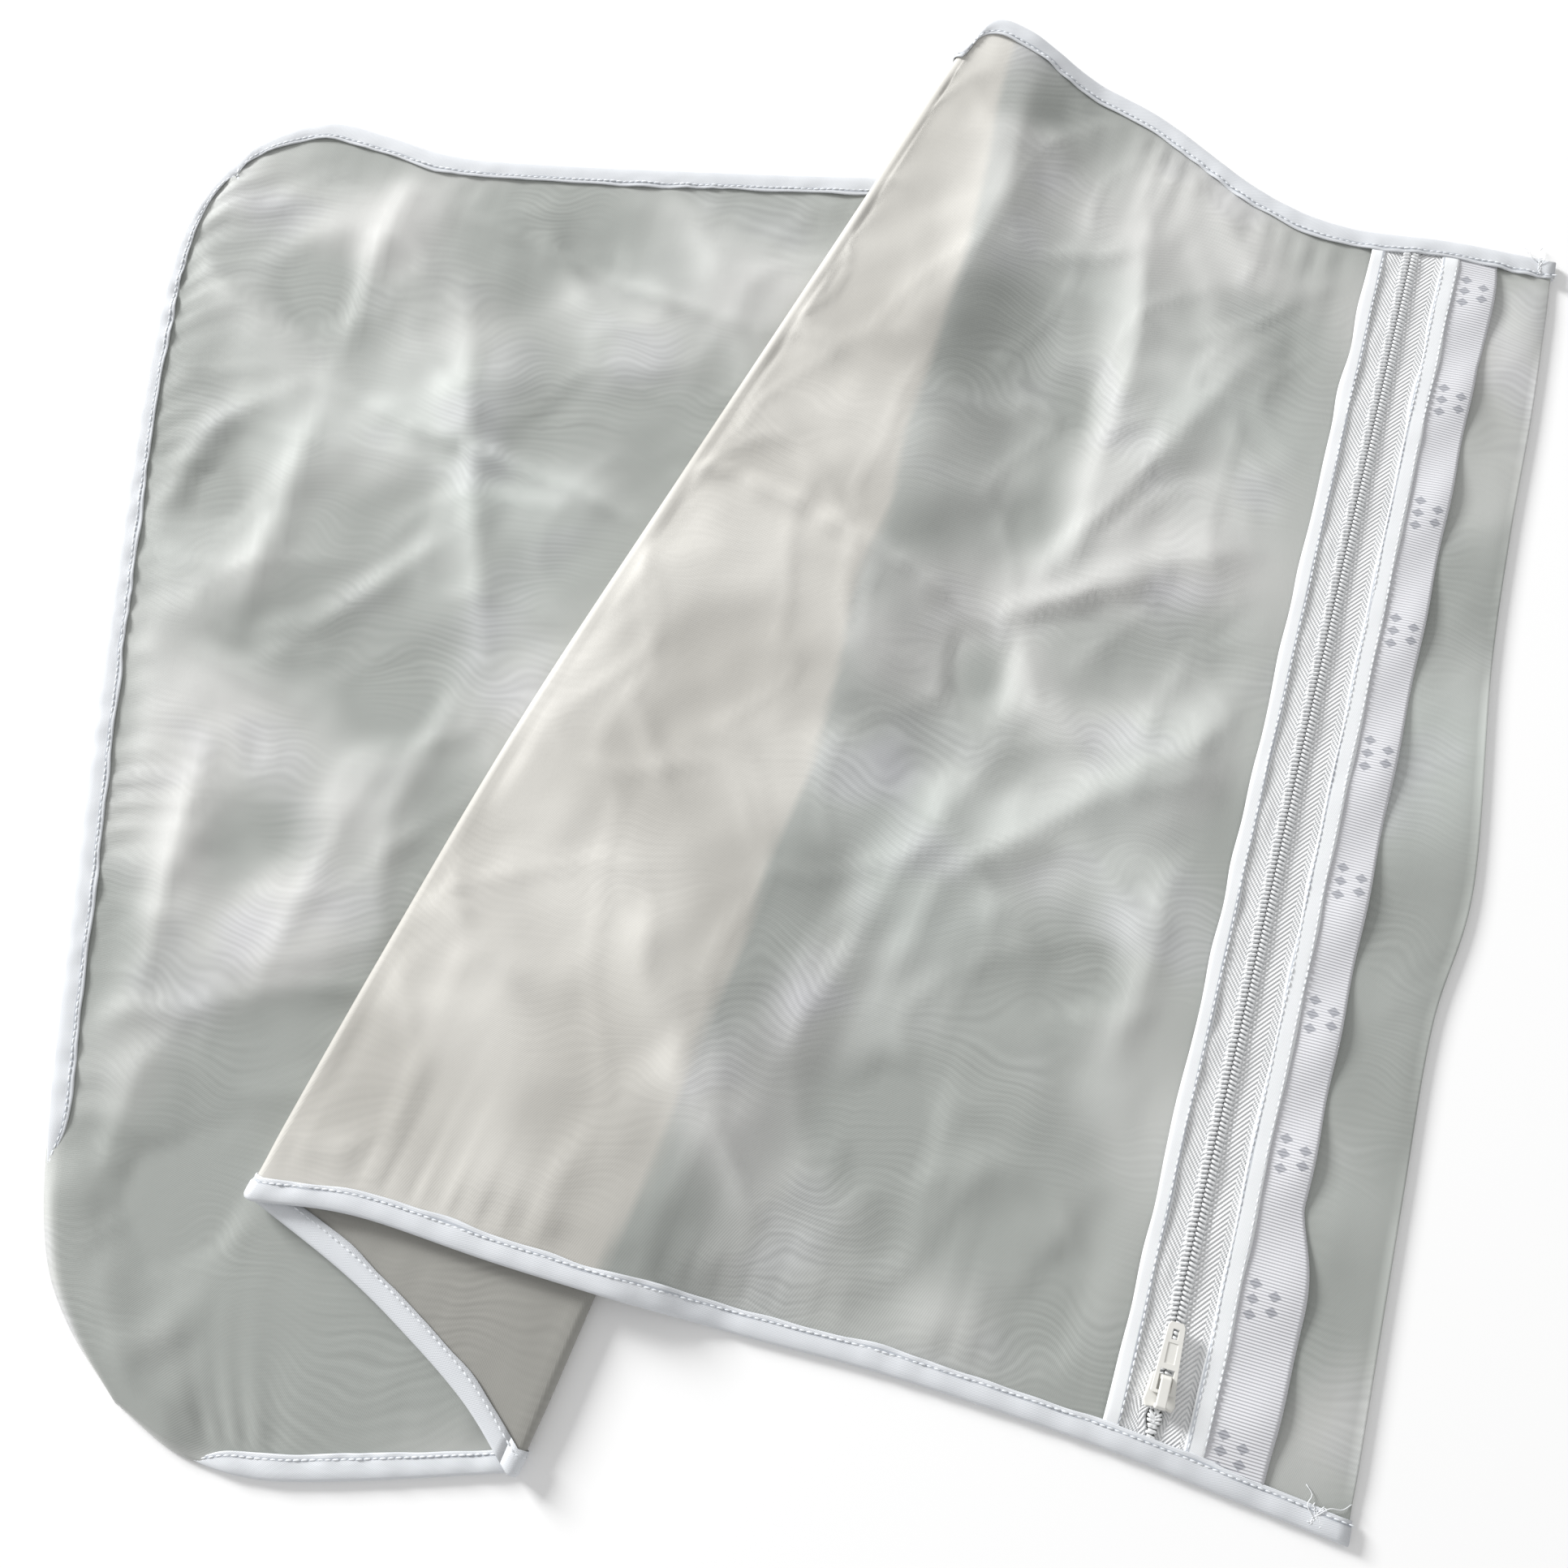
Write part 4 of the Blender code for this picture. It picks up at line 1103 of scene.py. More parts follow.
@dataclass
class Drape:
    """How far the cloth stands off its flat place: cloth simulation, creases and puckers."""

    layout: Layout
    sharp: tuple = (
        Crease(((-63, 85), (-45, 83), (-7, 63), (14, 49), (54, 22)), 1.5, 2.6),
        Crease(((54, 30), (113, 45)), 1.2, 3.0),
        Crease(((75, 177), (109, 178)), 0.8, 2.2),
        Crease(((60, 117), (75, 107)), 0.7, 2.2),
        Crease(((37, -66), (61, -87)), 0.8, 2.4),
        Crease(((-152, -71), (-138, -82), (-112, -109)), 0.7, 2.2),
        Crease(((-79, -4), (-64, -39)), 0.6, 2.4),
        Crease(((-197, 122), (-170, 109), (-141, 94), (-112, 83), (-75, 65)), 1.2, 2.4),
        Crease(((-236, 17), (-198, -4)), 0.7, 2.2),
        Crease(((-218, 24), (-198, 27)), 0.6, 2.2),
        Crease(((-144, 192), (-125, 184), (-90, 166), (-34, 145)), 1.0, 2.4),
    )
    broad: tuple = (
        Crease(((-146, 167), (-141, 88), (-133, 11)), 3.4, 9.0),
        Crease(((-217, 11), (-182, 35), (-141, 66)), 2.2, 7.0),
        Crease(((-198, 130), (-236, 160), (-257, 188)), 2.6, 8.0),
        Crease(((-201, 127), (-237, 107), (-257, 69)), 2.4, 8.0),
        Crease(((-197, 120), (-211, 69), (-224, 26)), 2.6, 9.0),
        Crease(((-167, 216), (-183, 174), (-195, 130)), 2.8, 8.0),
        Crease(((-120, 195), (-98, 154), (-61, 127)), 2.2, 8.0),
        Crease(((-229, -15), (-238, -67), (-245, -110)), 3.2, 10.0),
        Crease(((-162, -15), (-189, -67), (-207, -110)), 2.6, 11.0),
        Crease(((-138, 8), (-163, -44), (-166, -89)), 2.2, 9.0),
        Crease(((-254, -172), (-242, -131), (-213, -99)), 1.8, 10.0),
        Crease(((-185, -192), (-218, -217), (-248, -221)), 2.0, 12.0),
        Crease(((-69, 209), (-50, 174), (-26, 160)), 1.6, 8.0),
        Crease(((118, 207), (108, 139), (84, 68)), 3.6, 10.0),
        Crease(((152, 135), (108, 87), (63, 40)), 3.2, 10.0),
        Crease(((60, 34), (106, 49), (146, 55)), 2.2, 8.0),
        Crease(((140, -28), (84, -39), (29, -67), (6, -111)), 3.4, 12.0),
        Crease(((58, -10), (12, -67), (-31, -137)), 3.0, 12.0),
        Crease(((160, 13), (118, -22), (85, -34)), 2.4, 9.0),
        Crease(((59, 28), (64, -5), (96, -34)), 2.6, 9.0),
        Crease(((-15, -187), (5, -172), (47, -162)), 1.8, 12.0),
        Crease(((79, -137), (103, -89), (107, -67)), 2.4, 11.0),
        Crease(((-68, -121), (-46, -152), (-36, -187)), 1.8, 12.0),
        Crease(((71, 249), (60, 200), (34, 152)), 2.4, 11.0),
        Crease(((139, 207), (155, 172), (178, 159)), 1.6, 8.0),
        Crease(((-120, -22), (-80, -67), (-68, -111)), 1.2, 14.0),
        Crease(((-172, -67), (-116, -100), (-79, -111)), 1.0, 14.0),
    )
    hollows: tuple = (
        Crease(((-208, 188), (-196, 147)), -2.6, 18.0),
        Crease(((-248, 95), (-222, 69)), -2.2, 16.0),
        Crease(((-172, 14), (-153, -21)), -2.0, 16.0),
        Crease(((-230, -152), (-210, -192)), -2.6, 30.0),
        Crease(((-117, 181), (-86, 174)), -1.6, 12.0),
        Crease(((58, 165), (48, 112)), -2.6, 18.0),
        Crease(((93, 132), (85, 93)), -1.8, 12.0),
        Crease(((55, 68), (83, 58)), -2.0, 12.0),
        Crease(((31, 13), (59, 7)), -2.6, 16.0),
        Crease(((-5, -152), (26, -162)), -3.0, 24.0),
        Crease(((76, -89), (80, -116)), -2.4, 16.0),
        Crease(((126, -67), (129, -111)), -1.8, 16.0),
        Crease(((60, -190), (90, -215)), -2.0, 20.0),
        Crease(((-26, -100), (-36, -67)), -1.2, 14.0),
    )
    strength: float = 1.25
    sharp_strength: float = 2.0
    sharp_spread: float = 1.8
    pucker: float = 0.62
    pucker_pitch: float = 11.5
    frames: int = 36
    spacing: int = 3

    def build(self) -> Array:
        """The height of every point of the lattice above its flat place."""
        rows = self.layout.rows
        height = np.zeros(rows.shape[:2])
        for part, seed in ((self.layout.low, 11), (self.layout.high, 23)):
            flat = rows[part][:, :, :2]
            warp = np.stack([soft_noise(flat, 90.0, seed + 3), soft_noise(flat, 90.0, seed + 4)], axis=2)
            bent = flat + 7.0 * warp
            base = soft_noise(flat, 80.0, seed) * 0.6
            for size, tall, key in ((120.0, 1.0, 31), (75.0, 0.7, 37)):
                base += tall * np.exp(-np.abs(soft_noise(bent, size, seed + key, 4)) / 0.22) - 0.25 * tall
            base = 0.8 * base + 0.6 * self._simulated(flat, seed)
            height[part] = base + self._lines(flat)
        flat = rows[self.layout.middle][:, :, :2]
        height[self.layout.middle] = 0.35 * soft_noise(flat, 40.0, 31)
        return height * self._mask() + self._puckers()

    def _lines(self, flat: Array) -> Array:
        """Creases and ridges."""
        total = np.zeros(flat.shape[:2])
        for crease in self.sharp + self.broad + self.hollows:
            gap, place = along_line(flat, np.array(crease.line, float))
            gap = gap + 0.6 * soft_noise(flat, 22.0, 5)
            taper = np.sin(np.clip(place, 0.04, 0.96) * math.pi) ** 0.6
            strength = self.strength
            if crease in self.sharp:
                strength, spread = self.sharp_strength, self.sharp_spread * crease.width
                shape = np.exp(-np.abs(gap) / spread) - 0.3 * np.exp(-(((gap - 6) / 5) ** 2))
            elif crease.height > 0:
                shape = np.exp(-((np.abs(gap) / crease.width) ** 1.25))
            else:
                shape = np.exp(-((gap / crease.width) ** 2))
            total += strength * crease.height * taper * shape
        return total

    def _simulated(self, flat: Array, seed: int) -> Array:
        """The relief of a cloth a little too large for its sewn edge, let fall on the floor.

        Args:
            flat: Places on the floor, rows by columns.
            seed: The seed of its first slack.

        Returns:
            Heights with a spread of about 1 mm.
        """
        rows = np.unique(np.append(np.arange(0, flat.shape[0], self.spacing), flat.shape[0] - 1))
        columns = np.unique(np.append(np.arange(0, flat.shape[1], self.spacing), flat.shape[1] - 1))
        coarse = flat[np.ix_(rows, columns)]
        count = coarse.shape[:2]
        start = 3.0 + 1.6 * soft_noise(coarse, 55.0, seed) + 0.5 * soft_noise(coarse, 24.0, seed + 7)
        border = np.zeros(count, bool)
        border[0], border[-1], border[:, 0], border[:, -1] = True, True, True, True
        start[border] = 1.0
        points = np.concatenate([coarse, start[:, :, None]], axis=2).reshape(-1, 3) * 0.001
        quads = [[i * count[1] + j, i * count[1] + j + 1, (i + 1) * count[1] + j + 1, (i + 1) * count[1] + j]
                 for i in range(count[0] - 1) for j in range(count[1] - 1)]
        mesh = bpy.data.meshes.new("cloth_trial")
        mesh.from_pydata(points.tolist(), [], quads)
        cloth = bpy.data.objects.new("cloth_trial", mesh)
        bpy.context.scene.collection.objects.link(cloth)
        pins = cloth.vertex_groups.new(name="sewn")
        pins.add([int(k) for k in np.flatnonzero(border.ravel())], 1.0, "REPLACE")
        ground = self._ground()
        made = cloth.modifiers.new("fall", "CLOTH")
        rules = made.settings
        rules.vertex_group_mass, rules.quality, rules.mass = "sewn", 6, 0.02
        rules.shrink_min, rules.bending_stiffness = -0.010, 0.12
        rules.tension_stiffness, rules.compression_stiffness, rules.shear_stiffness = 12, 12, 4
        rules.air_damping = 3.0
        made.collision_settings.distance_min = 0.0008
        made.point_cache.frame_start, made.point_cache.frame_end = 1, self.frames
        scene = bpy.context.scene
        for step in range(1, self.frames + 1):
            scene.frame_set(step)
        result = cloth.evaluated_get(bpy.context.evaluated_depsgraph_get()).to_mesh()
        place = np.empty(len(result.vertices) * 3)
        result.vertices.foreach_get("co", place)
        height = place.reshape(*count, 3)[:, :, 2] * 1000
        for gone in (cloth, ground):
            bpy.data.objects.remove(gone, do_unlink=True)
        scene.frame_set(1)
        height = height - np.median(height)
        log.info("cloth relief: spread %.2f mm", float(height.std()))
        height = np.clip(height / max(float(height.std()), 0.2), -1.4, 3.2)
        fine = np.stack([np.interp(np.arange(flat.shape[1]), columns, row) for row in height])
        fine = np.stack([np.interp(np.arange(flat.shape[0]), rows, column) for column in fine.T], 1)
        return self.softened(fine, 2)

    @staticmethod
    def _ground() -> bpy.types.Object:
        """A floor for the cloth to fall on."""
        mesh = bpy.data.meshes.new("ground_trial")
        mesh.from_pydata([(-1, -1, 0), (1, -1, 0), (1, 1, 0), (-1, 1, 0)], [], [[0, 1, 2, 3]])
        ground = bpy.data.objects.new("ground_trial", mesh)
        bpy.context.scene.collection.objects.link(ground)
        made = ground.modifiers.new("hit", "COLLISION")
        made.settings.thickness_outer = 0.001
        return ground

    @staticmethod
    def softened(height: Array, times: int) -> Array:
        """Heights averaged with their neighbours."""
        for _ in range(times):
            for axis in (0, 1):
                ahead, behind = np.roll(height, 1, axis), np.roll(height, -1, axis)
                index = [slice(None)] * 2
                for stop in (0, -1):
                    index[axis] = stop
                    ahead[tuple(index)] = behind[tuple(index)] = height[tuple(index)]
                height = 0.5 * height + 0.25 * (ahead + behind)
        return height

    def _mask(self) -> Array:
        """How freely each point may move: little where it is covered, sewn or folded."""
        lay = self.layout
        free = ease((lay.inward - 8) / 14)
        flat = lay.rows[:, :, :2]
        low = lay.low
        covered = ease((signed_distance(flat[low], lay.line_a) + 4) / 14)
        free[low] *= 1 - 0.85 * covered
        index = np.arange(len(free))[:, None]
        for edge in (lay.low.stop, lay.middle.start, lay.middle.stop, lay.high.start):
            free = free * ease(np.abs(index - edge + 0.5) / 3)
        near_zip = ease((np.abs(lay.zip_across) - 19) / 18)
        beside = (index >= lay.high.start) & (lay.zip_across > -40)
        free = np.where(beside, free * near_zip, free)
        strip = (index >= lay.marks[0]) & (lay.zip_across > 0)
        return np.where(strip, free * 0.35 * ease((lay.zip_across - 36) / 10), free)

    def _puckers(self) -> Array:
        """Small waves square to the sewn edges."""
        lay, total = self.layout, np.zeros(self.layout.rows.shape[:2])
        edges = (
            (lay.from_top, lay.along[:, :1], 41),
            (lay.from_bottom, lay.along[:, -1:], 43),
            (lay.along, lay.across[:1], 47),
        )
        for gap, walked, seed in edges:
            line = np.stack([walked, np.zeros_like(walked)], axis=-1)
            drift = soft_noise(line, 60.0, seed) * 0.35
            size = np.clip(0.75 + 0.55 * soft_noise(line, 75.0, seed + 1), 0.1, 1.9)
            reach = 11 + 7 * ease(0.5 + 0.5 * soft_noise(line, 45.0, seed + 2))
            wave = np.cos(2 * math.pi * (walked / self.pucker_pitch + drift))
            total += self.pucker * size * wave * np.exp(-(gap - 6) / reach) * ease((gap - 7.5) / 7)
        index = np.arange(len(total))[:, None]
        for first, last in ((lay.low.stop, lay.middle.start), (lay.middle.stop, lay.high.start)):
            total = total * ease(np.minimum(np.abs(index - first), np.abs(index - last)) / 4)
        total = np.where((index >= lay.marks[0] - 5), total * 0.3, total)
        return total * (1 - lay.tuck)


@dataclass
class Panels:
    """The two mesh plies."""

    layout: Layout
    height: Array
    effects: Effects
    finish: MeshFinish = MeshFinish()
    thick: float = 0.3
    reach: tuple = (0.45, 0.8)
    floor: float = 0.35

    def build(self) -> list[bpy.types.Object]:
        """Makes the front and back plies."""
        lay, h = self.layout, self.height
        edge, inside = self.reach
        reach = (edge + (inside - edge) * ease((lay.inward - 9) / 16))[:, :, None]
        rows = self._inset(lay.rows)
        tucked = self._tucked()
        front = rows + lay.normals * reach + (h + tucked)[:, :, None] * UP
        back = rows - lay.normals * reach + (0.7 * h)[:, :, None] * UP
        front[:, :, 2] = np.maximum(front[:, :, 2], self.floor + 0.7)
        back[:, :, 2] = np.maximum(back[:, :, 2], self.floor)
        low = lay.low
        back[low, :, 2] = np.minimum(back[low, :, 2], front[low, :, 2] - 0.6)
        back[low, :, 2] = np.maximum(back[low, :, 2], self.floor)
        marks = self._marks()
        last = lay.marks[0] + 1
        cut = {k: v[:last] for k, v in marks.items()}
        look = self.finish.build("mesh_front_look", self.effects)
        made = [slab_of("front_mesh", front[:last], lay.normals[:last], self.thick, look, lay.uv[:last], cut)]
        made.append(self._back(rows, reach, front, back, marks))
        dress(made[0], Body.BAG, "mesh_front_panel", "mesh_front_panel")
        dress(made[1], Body.BAG, "mesh_back_panel", "mesh_back_panel")
        return made

    def _inset(self, rows: Array) -> Array:
        """The rows, their outermost points pulled in under the tape."""
        inset, tuck = rows.copy(), self.layout.tuck[:, :, None]
        for edge, inner in (((slice(None), 0), (slice(None), 1)), ((slice(None), -1), (slice(None), -2))):
            inset[edge] = rows[edge] + (rows[inner] - rows[edge]) * 0.45 * (1 - tuck[edge])
        inset[0, 1:-1] = rows[0, 1:-1] + (rows[1, 1:-1] - rows[0, 1:-1]) * 0.45 * (1 - tuck[0, 1:-1])
        return inset

    def _tucked(self) -> Array:
        """Where the tape is rolled under, the mesh rises over it and turns down at the edge."""
        lay = self.layout
        covers = ease((lay.tuck - 0.30) / 0.5)
        rise = 2.6 * covers * ease(lay.inward / 5.0) * (1 - ease((lay.inward - 19) / 22))
        return rise - lay.tuck * (1 - ease(lay.inward / 3.5))

    def _marks(self) -> dict[str, Array]:
        """Numbers that the cloth's material reads."""
        lay, h = self.layout, self.height
        flat = lay.rows[:, :, :2]
        stacked, middle = np.zeros(h.shape), np.zeros(h.shape)
        high = lay.high
        edge = signed_distance(flat[high], lay.line_b) + 1.2 * soft_noise(flat[high], 70.0, 61)
        stacked[high] = 1 - ease((edge + 1.5) / 4.0)
        stacked[lay.middle.stop : high.start] = 1.0
        # The middle mark lays a painted shadow on fold B and the middle section.
        middle[lay.low.stop : lay.middle.stop] = 1.0
        slow = 1.1 * soft_noise(flat, 85.0, 71) + 0.35 * soft_noise(flat, 30.0, 72)
        turns = flat[:, :, 1] / 2.5 + 0.06 * flat[:, :, 0] + 1.6 * slow + 1.0 * h
        # Painted shade: more where the smoothed relief lies low, towards the bottom and on the lower section,
        # and none at the edges.
        low = Drape.softened(h, 6) - 0.7 + 0.9 * soft_noise(flat, 90.0, 77)
        base = 0.30 + 0.34 * ease((50 - flat[:, :, 1]) / 240)
        base[lay.low] += 0.20
        painted_shade = ease(base - 0.24 * low) * ease(lay.inward / 8)
        return {"stacked": stacked, "middle": middle, "turns": turns, "painted_shade": painted_shade}

    def _back(self, rows: Array, reach: Array, front: Array, back: Array, marks: dict) -> bpy.types.Object:
        """The back ply, which turns over at the zip end into the strip beside the zip."""
        lay = self.layout
        out = rows[-1] - rows[-2]
        out /= np.linalg.norm(out, axis=1)[:, None]
        turned = np.stack([out * math.cos(t) + lay.normals[-1] * math.sin(t)
                           for t in np.linspace(-math.pi / 3, math.pi / 3, 5)])
        turn = rows[-1] + reach[-1] * turned
        strip = slice(lay.marks[1], None)
        grid = np.concatenate([back, turn, front[strip][::-1]])
        outward = np.concatenate([-lay.normals, turned, lay.normals[strip][::-1]])
        extra = np.broadcast_to(lay.uv[-1], (5,) + lay.uv[-1].shape)
        uv = np.concatenate([lay.uv, extra, lay.uv[strip][::-1]])
        long = {k: np.concatenate([v, np.broadcast_to(v[-1], (5, v.shape[1])), v[strip][::-1]])
                for k, v in marks.items()}
        look = self.finish.build("mesh_back_look", self.effects)
        return slab_of("back_mesh", grid, outward, self.thick, look, uv, long)


# ---------------------------------------------------------------- edge tape


@dataclass
class EdgeTape:
    """The folded tape sewn round the bag's edge, with its stitches."""

    layout: Layout
    effects: Effects
    repeater: Repeater
    finish: SatinFinish = SatinFinish()
    width: float = 8.3
    upper: float = 1.45
    lower: float = 1.35
    stitch_row: float = 6.64
    pitch: float = 2.5
    ripple: float = 0.28
    ripple_pitch: float = 13.0
    web: float = 0.4
    past_end: float = 1.2
    rolled: tuple = (2.0, 0.35)
    tapered: float = 0.84

    def build(self) -> list[bpy.types.Object]:
        """Makes the two lengths of tape and their stitches."""
        place, inward, up, share = self._path()
        n = len(self.layout.rows)
        join = n + self.layout.rows.shape[1] - 2 + self.layout.low.stop + self.layout.fold_n
        walked = run_of(place)
        bulge = self._bulge(place)
        wave = np.column_stack([self._waves(walked), share])
        frames = (place, inward, up, walked, bulge, wave)
        look = self.finish.build("edge_tape_look", self.effects)
        second = self.finish.build("edge_tape_short_look", self.effects)
        long = self._length("edge_tape_long", [f[: join + 1] for f in frames], look)
        short = self._length("edge_tape_short", [f[join:] for f in frames], second)
        dress(long, Body.BAG, "edge_binding_long", "edge_binding_long")
        dress(short, Body.BAG, "edge_binding_short", "edge_binding_short")
        return [long, short, self._stitches(frames)]

    def _path(self) -> tuple[Array, Array, Array, Array]:
        """Stations of the edge from the top zip corner round to the bottom one, with in, up and width."""
        rows, normal = self.layout.rows, self.layout.normals
        n, across = rows.shape[:2]
        keys = [(i, 0, max(i, 3), 3) for i in range(n - 1, 0, -1)]
        keys += [(0, j, 3, min(max(j, 3), across - 4)) for j in range(across)]
        keys += [(i, -1, max(i, 3), -4) for i in range(1, n)]
        place = np.array([rows[i, j] for i, j, _, _ in keys])
        inner = np.array([rows[a, b] for _, _, a, b in keys])
        up = np.array([normal[i, j] for i, j, _, _ in keys])
        tuck = np.array([self.layout.tuck[i, j] for i, j, _, _ in keys])
        along = np.gradient(place, axis=0)
        along /= np.linalg.norm(along, axis=1)[:, None]
        inward = inner - place
        inward -= (inward * up).sum(axis=1)[:, None] * up
        inward /= np.linalg.norm(inward, axis=1)[:, None]
        smoothed = inward.copy()
        corner = slice(n - 12, n + across + 10)
        part = smoothed[corner]
        for _ in range(10):
            part[1:-1] = (part[:-2] + part[1:-1] + part[2:]) / 3
        inward = smoothed / np.linalg.norm(smoothed, axis=1)[:, None]
        into, under = self.rolled
        place = place + inward * (into * tuck)[:, None] - up * (under * tuck)[:, None]
        for end, way in ((0, -1), (-1, 1)):
            place[end] += along[end] * way * self.past_end
        return place, inward, up, 1 - self.tapered * ease(tuck / 0.5)

    def _bulge(self, place: Array) -> Array:
        """How far the tape is pushed up over the zip's ends."""
        line = self.layout.zip_line
        across = (place[:, :2] - line.origin) @ line.right
        top = np.arange(len(place)) < len(self.layout.rows)
        late = np.arange(len(place)) > len(place) - len(self.layout.rows)
        near = ease((across + 20) / 8) * ease((40 - across) / 8)
        coil = np.exp(-((across / 4.5) ** 2))
        return (0.75 * near + 0.6 * coil) * (top | late) * (place[:, 2] < 6)

    def _waves(self, walked: Array) -> Array:
        """The tape's own small ripple, in height and in width."""
        line = np.stack([walked, np.zeros_like(walked)], axis=-1)
        size = np.clip(0.7 + 0.5 * soft_noise(line, 70.0, 81), 0.1, 1.6)
        beat = np.cos(2 * math.pi * (walked / self.ripple_pitch + 0.3 * soft_noise(line, 60.0, 82)))
        return np.stack([size * beat, soft_noise(line, 26.0, 83), soft_noise(line, 9.0, 84)], axis=1)

    def _profile(self, bulge: float, wave: Array) -> list[tuple[float, float]]:
        """Outline of the folded tape: distance in from the edge, and height."""
        w = self.width + 0.28 * wave[1]
        up, down = self.upper + 0.1 * wave[2], self.lower
        tip = up + bulge + self.ripple * wave[0]
        low_tip = -down - 0.12 * wave[0]
        web, share = self.web, wave[3]
        flat = 0.25 + 0.75 * share
        full = [(w, low_tip), (w * 0.55, -down), (1.3, -down + 0.1), (0.25, -down * 0.55), (0.0, 0.0),
                (0.25, up * 0.6), (1.2, up + 0.25 * bulge), (3.2, up + 0.12 + 0.6 * bulge),
                (w * 0.66, up + 0.1 + 0.9 * bulge), (w * 0.8, tip - 0.12), (w * 0.93, tip + 0.06),
                (w, tip - 0.05), (w, tip - 0.35), (1.4, up - web), (0.7, 0.0), (1.4, -down + web),
                (w, low_tip + 0.3)]
        return [(a * share, b * flat) for a, b in full]

    def _length(self, name: str, frames: list[Array], look: bpy.types.Material) -> bpy.types.Object:
        """One length of tape."""
        points, uv, count = [], [], 0
        for p, inward, up, walked, bulge, wave in zip(*frames):
            outline = self._profile(float(bulge), wave)
            count = len(outline)
            girth = run_of(np.array(outline))
            points += [p + inward * a + up * b for a, b in outline]
            uv += [(g - girth[9], walked) for g in girth]
        faces = [list(range(count)), list(range(len(points) - count, len(points)))]
        for i in range(len(frames[0]) - 1):
            for k in range(count):
                nxt, a, b = (k + 1) % count, i * count, (i + 1) * count
                faces.append([a + k, a + nxt, b + nxt, b + k])
        points = np.array(points)
        points[:, 2] = np.maximum(points[:, 2], 0.02)
        return piece_of(name, points, faces, look, np.array(uv))

    def _stitches(self, frames: tuple) -> bpy.types.Object:
        """Rows of stitches near the tape's inner edge, above and below."""
        place, inward, up, _, bulge, wave = frames
        share = wave[:, 3:]
        row, flat = self.stitch_row * share, 0.25 + 0.75 * share
        tip = self.upper + bulge + self.ripple * wave[:, 0]
        above = place + inward * row + up * flat * (tip - 0.02)[:, None]
        below = place + inward * row - up * flat * (self.lower - 0.03)
        thread = PlainFinish((0.84, 0.86, 0.89), (0.70, 0.73, 0.76), 0.5, scale=500.0)
        item = bead(2.1, 0.72, 0.5)
        paths = [(above, up), (below, -up)]
        for points, _ in paths:
            points[:, 2] = np.maximum(points[:, 2], 0.12)
        made = self.repeater.copies("edge_stitches", paths, item, self.pitch,
                                    thread.build("thread_look", self.effects), 0.12, 3)
        return dress(made, Body.BAG, "edge_binding_long")


# ---------------------------------------------------------------- zip


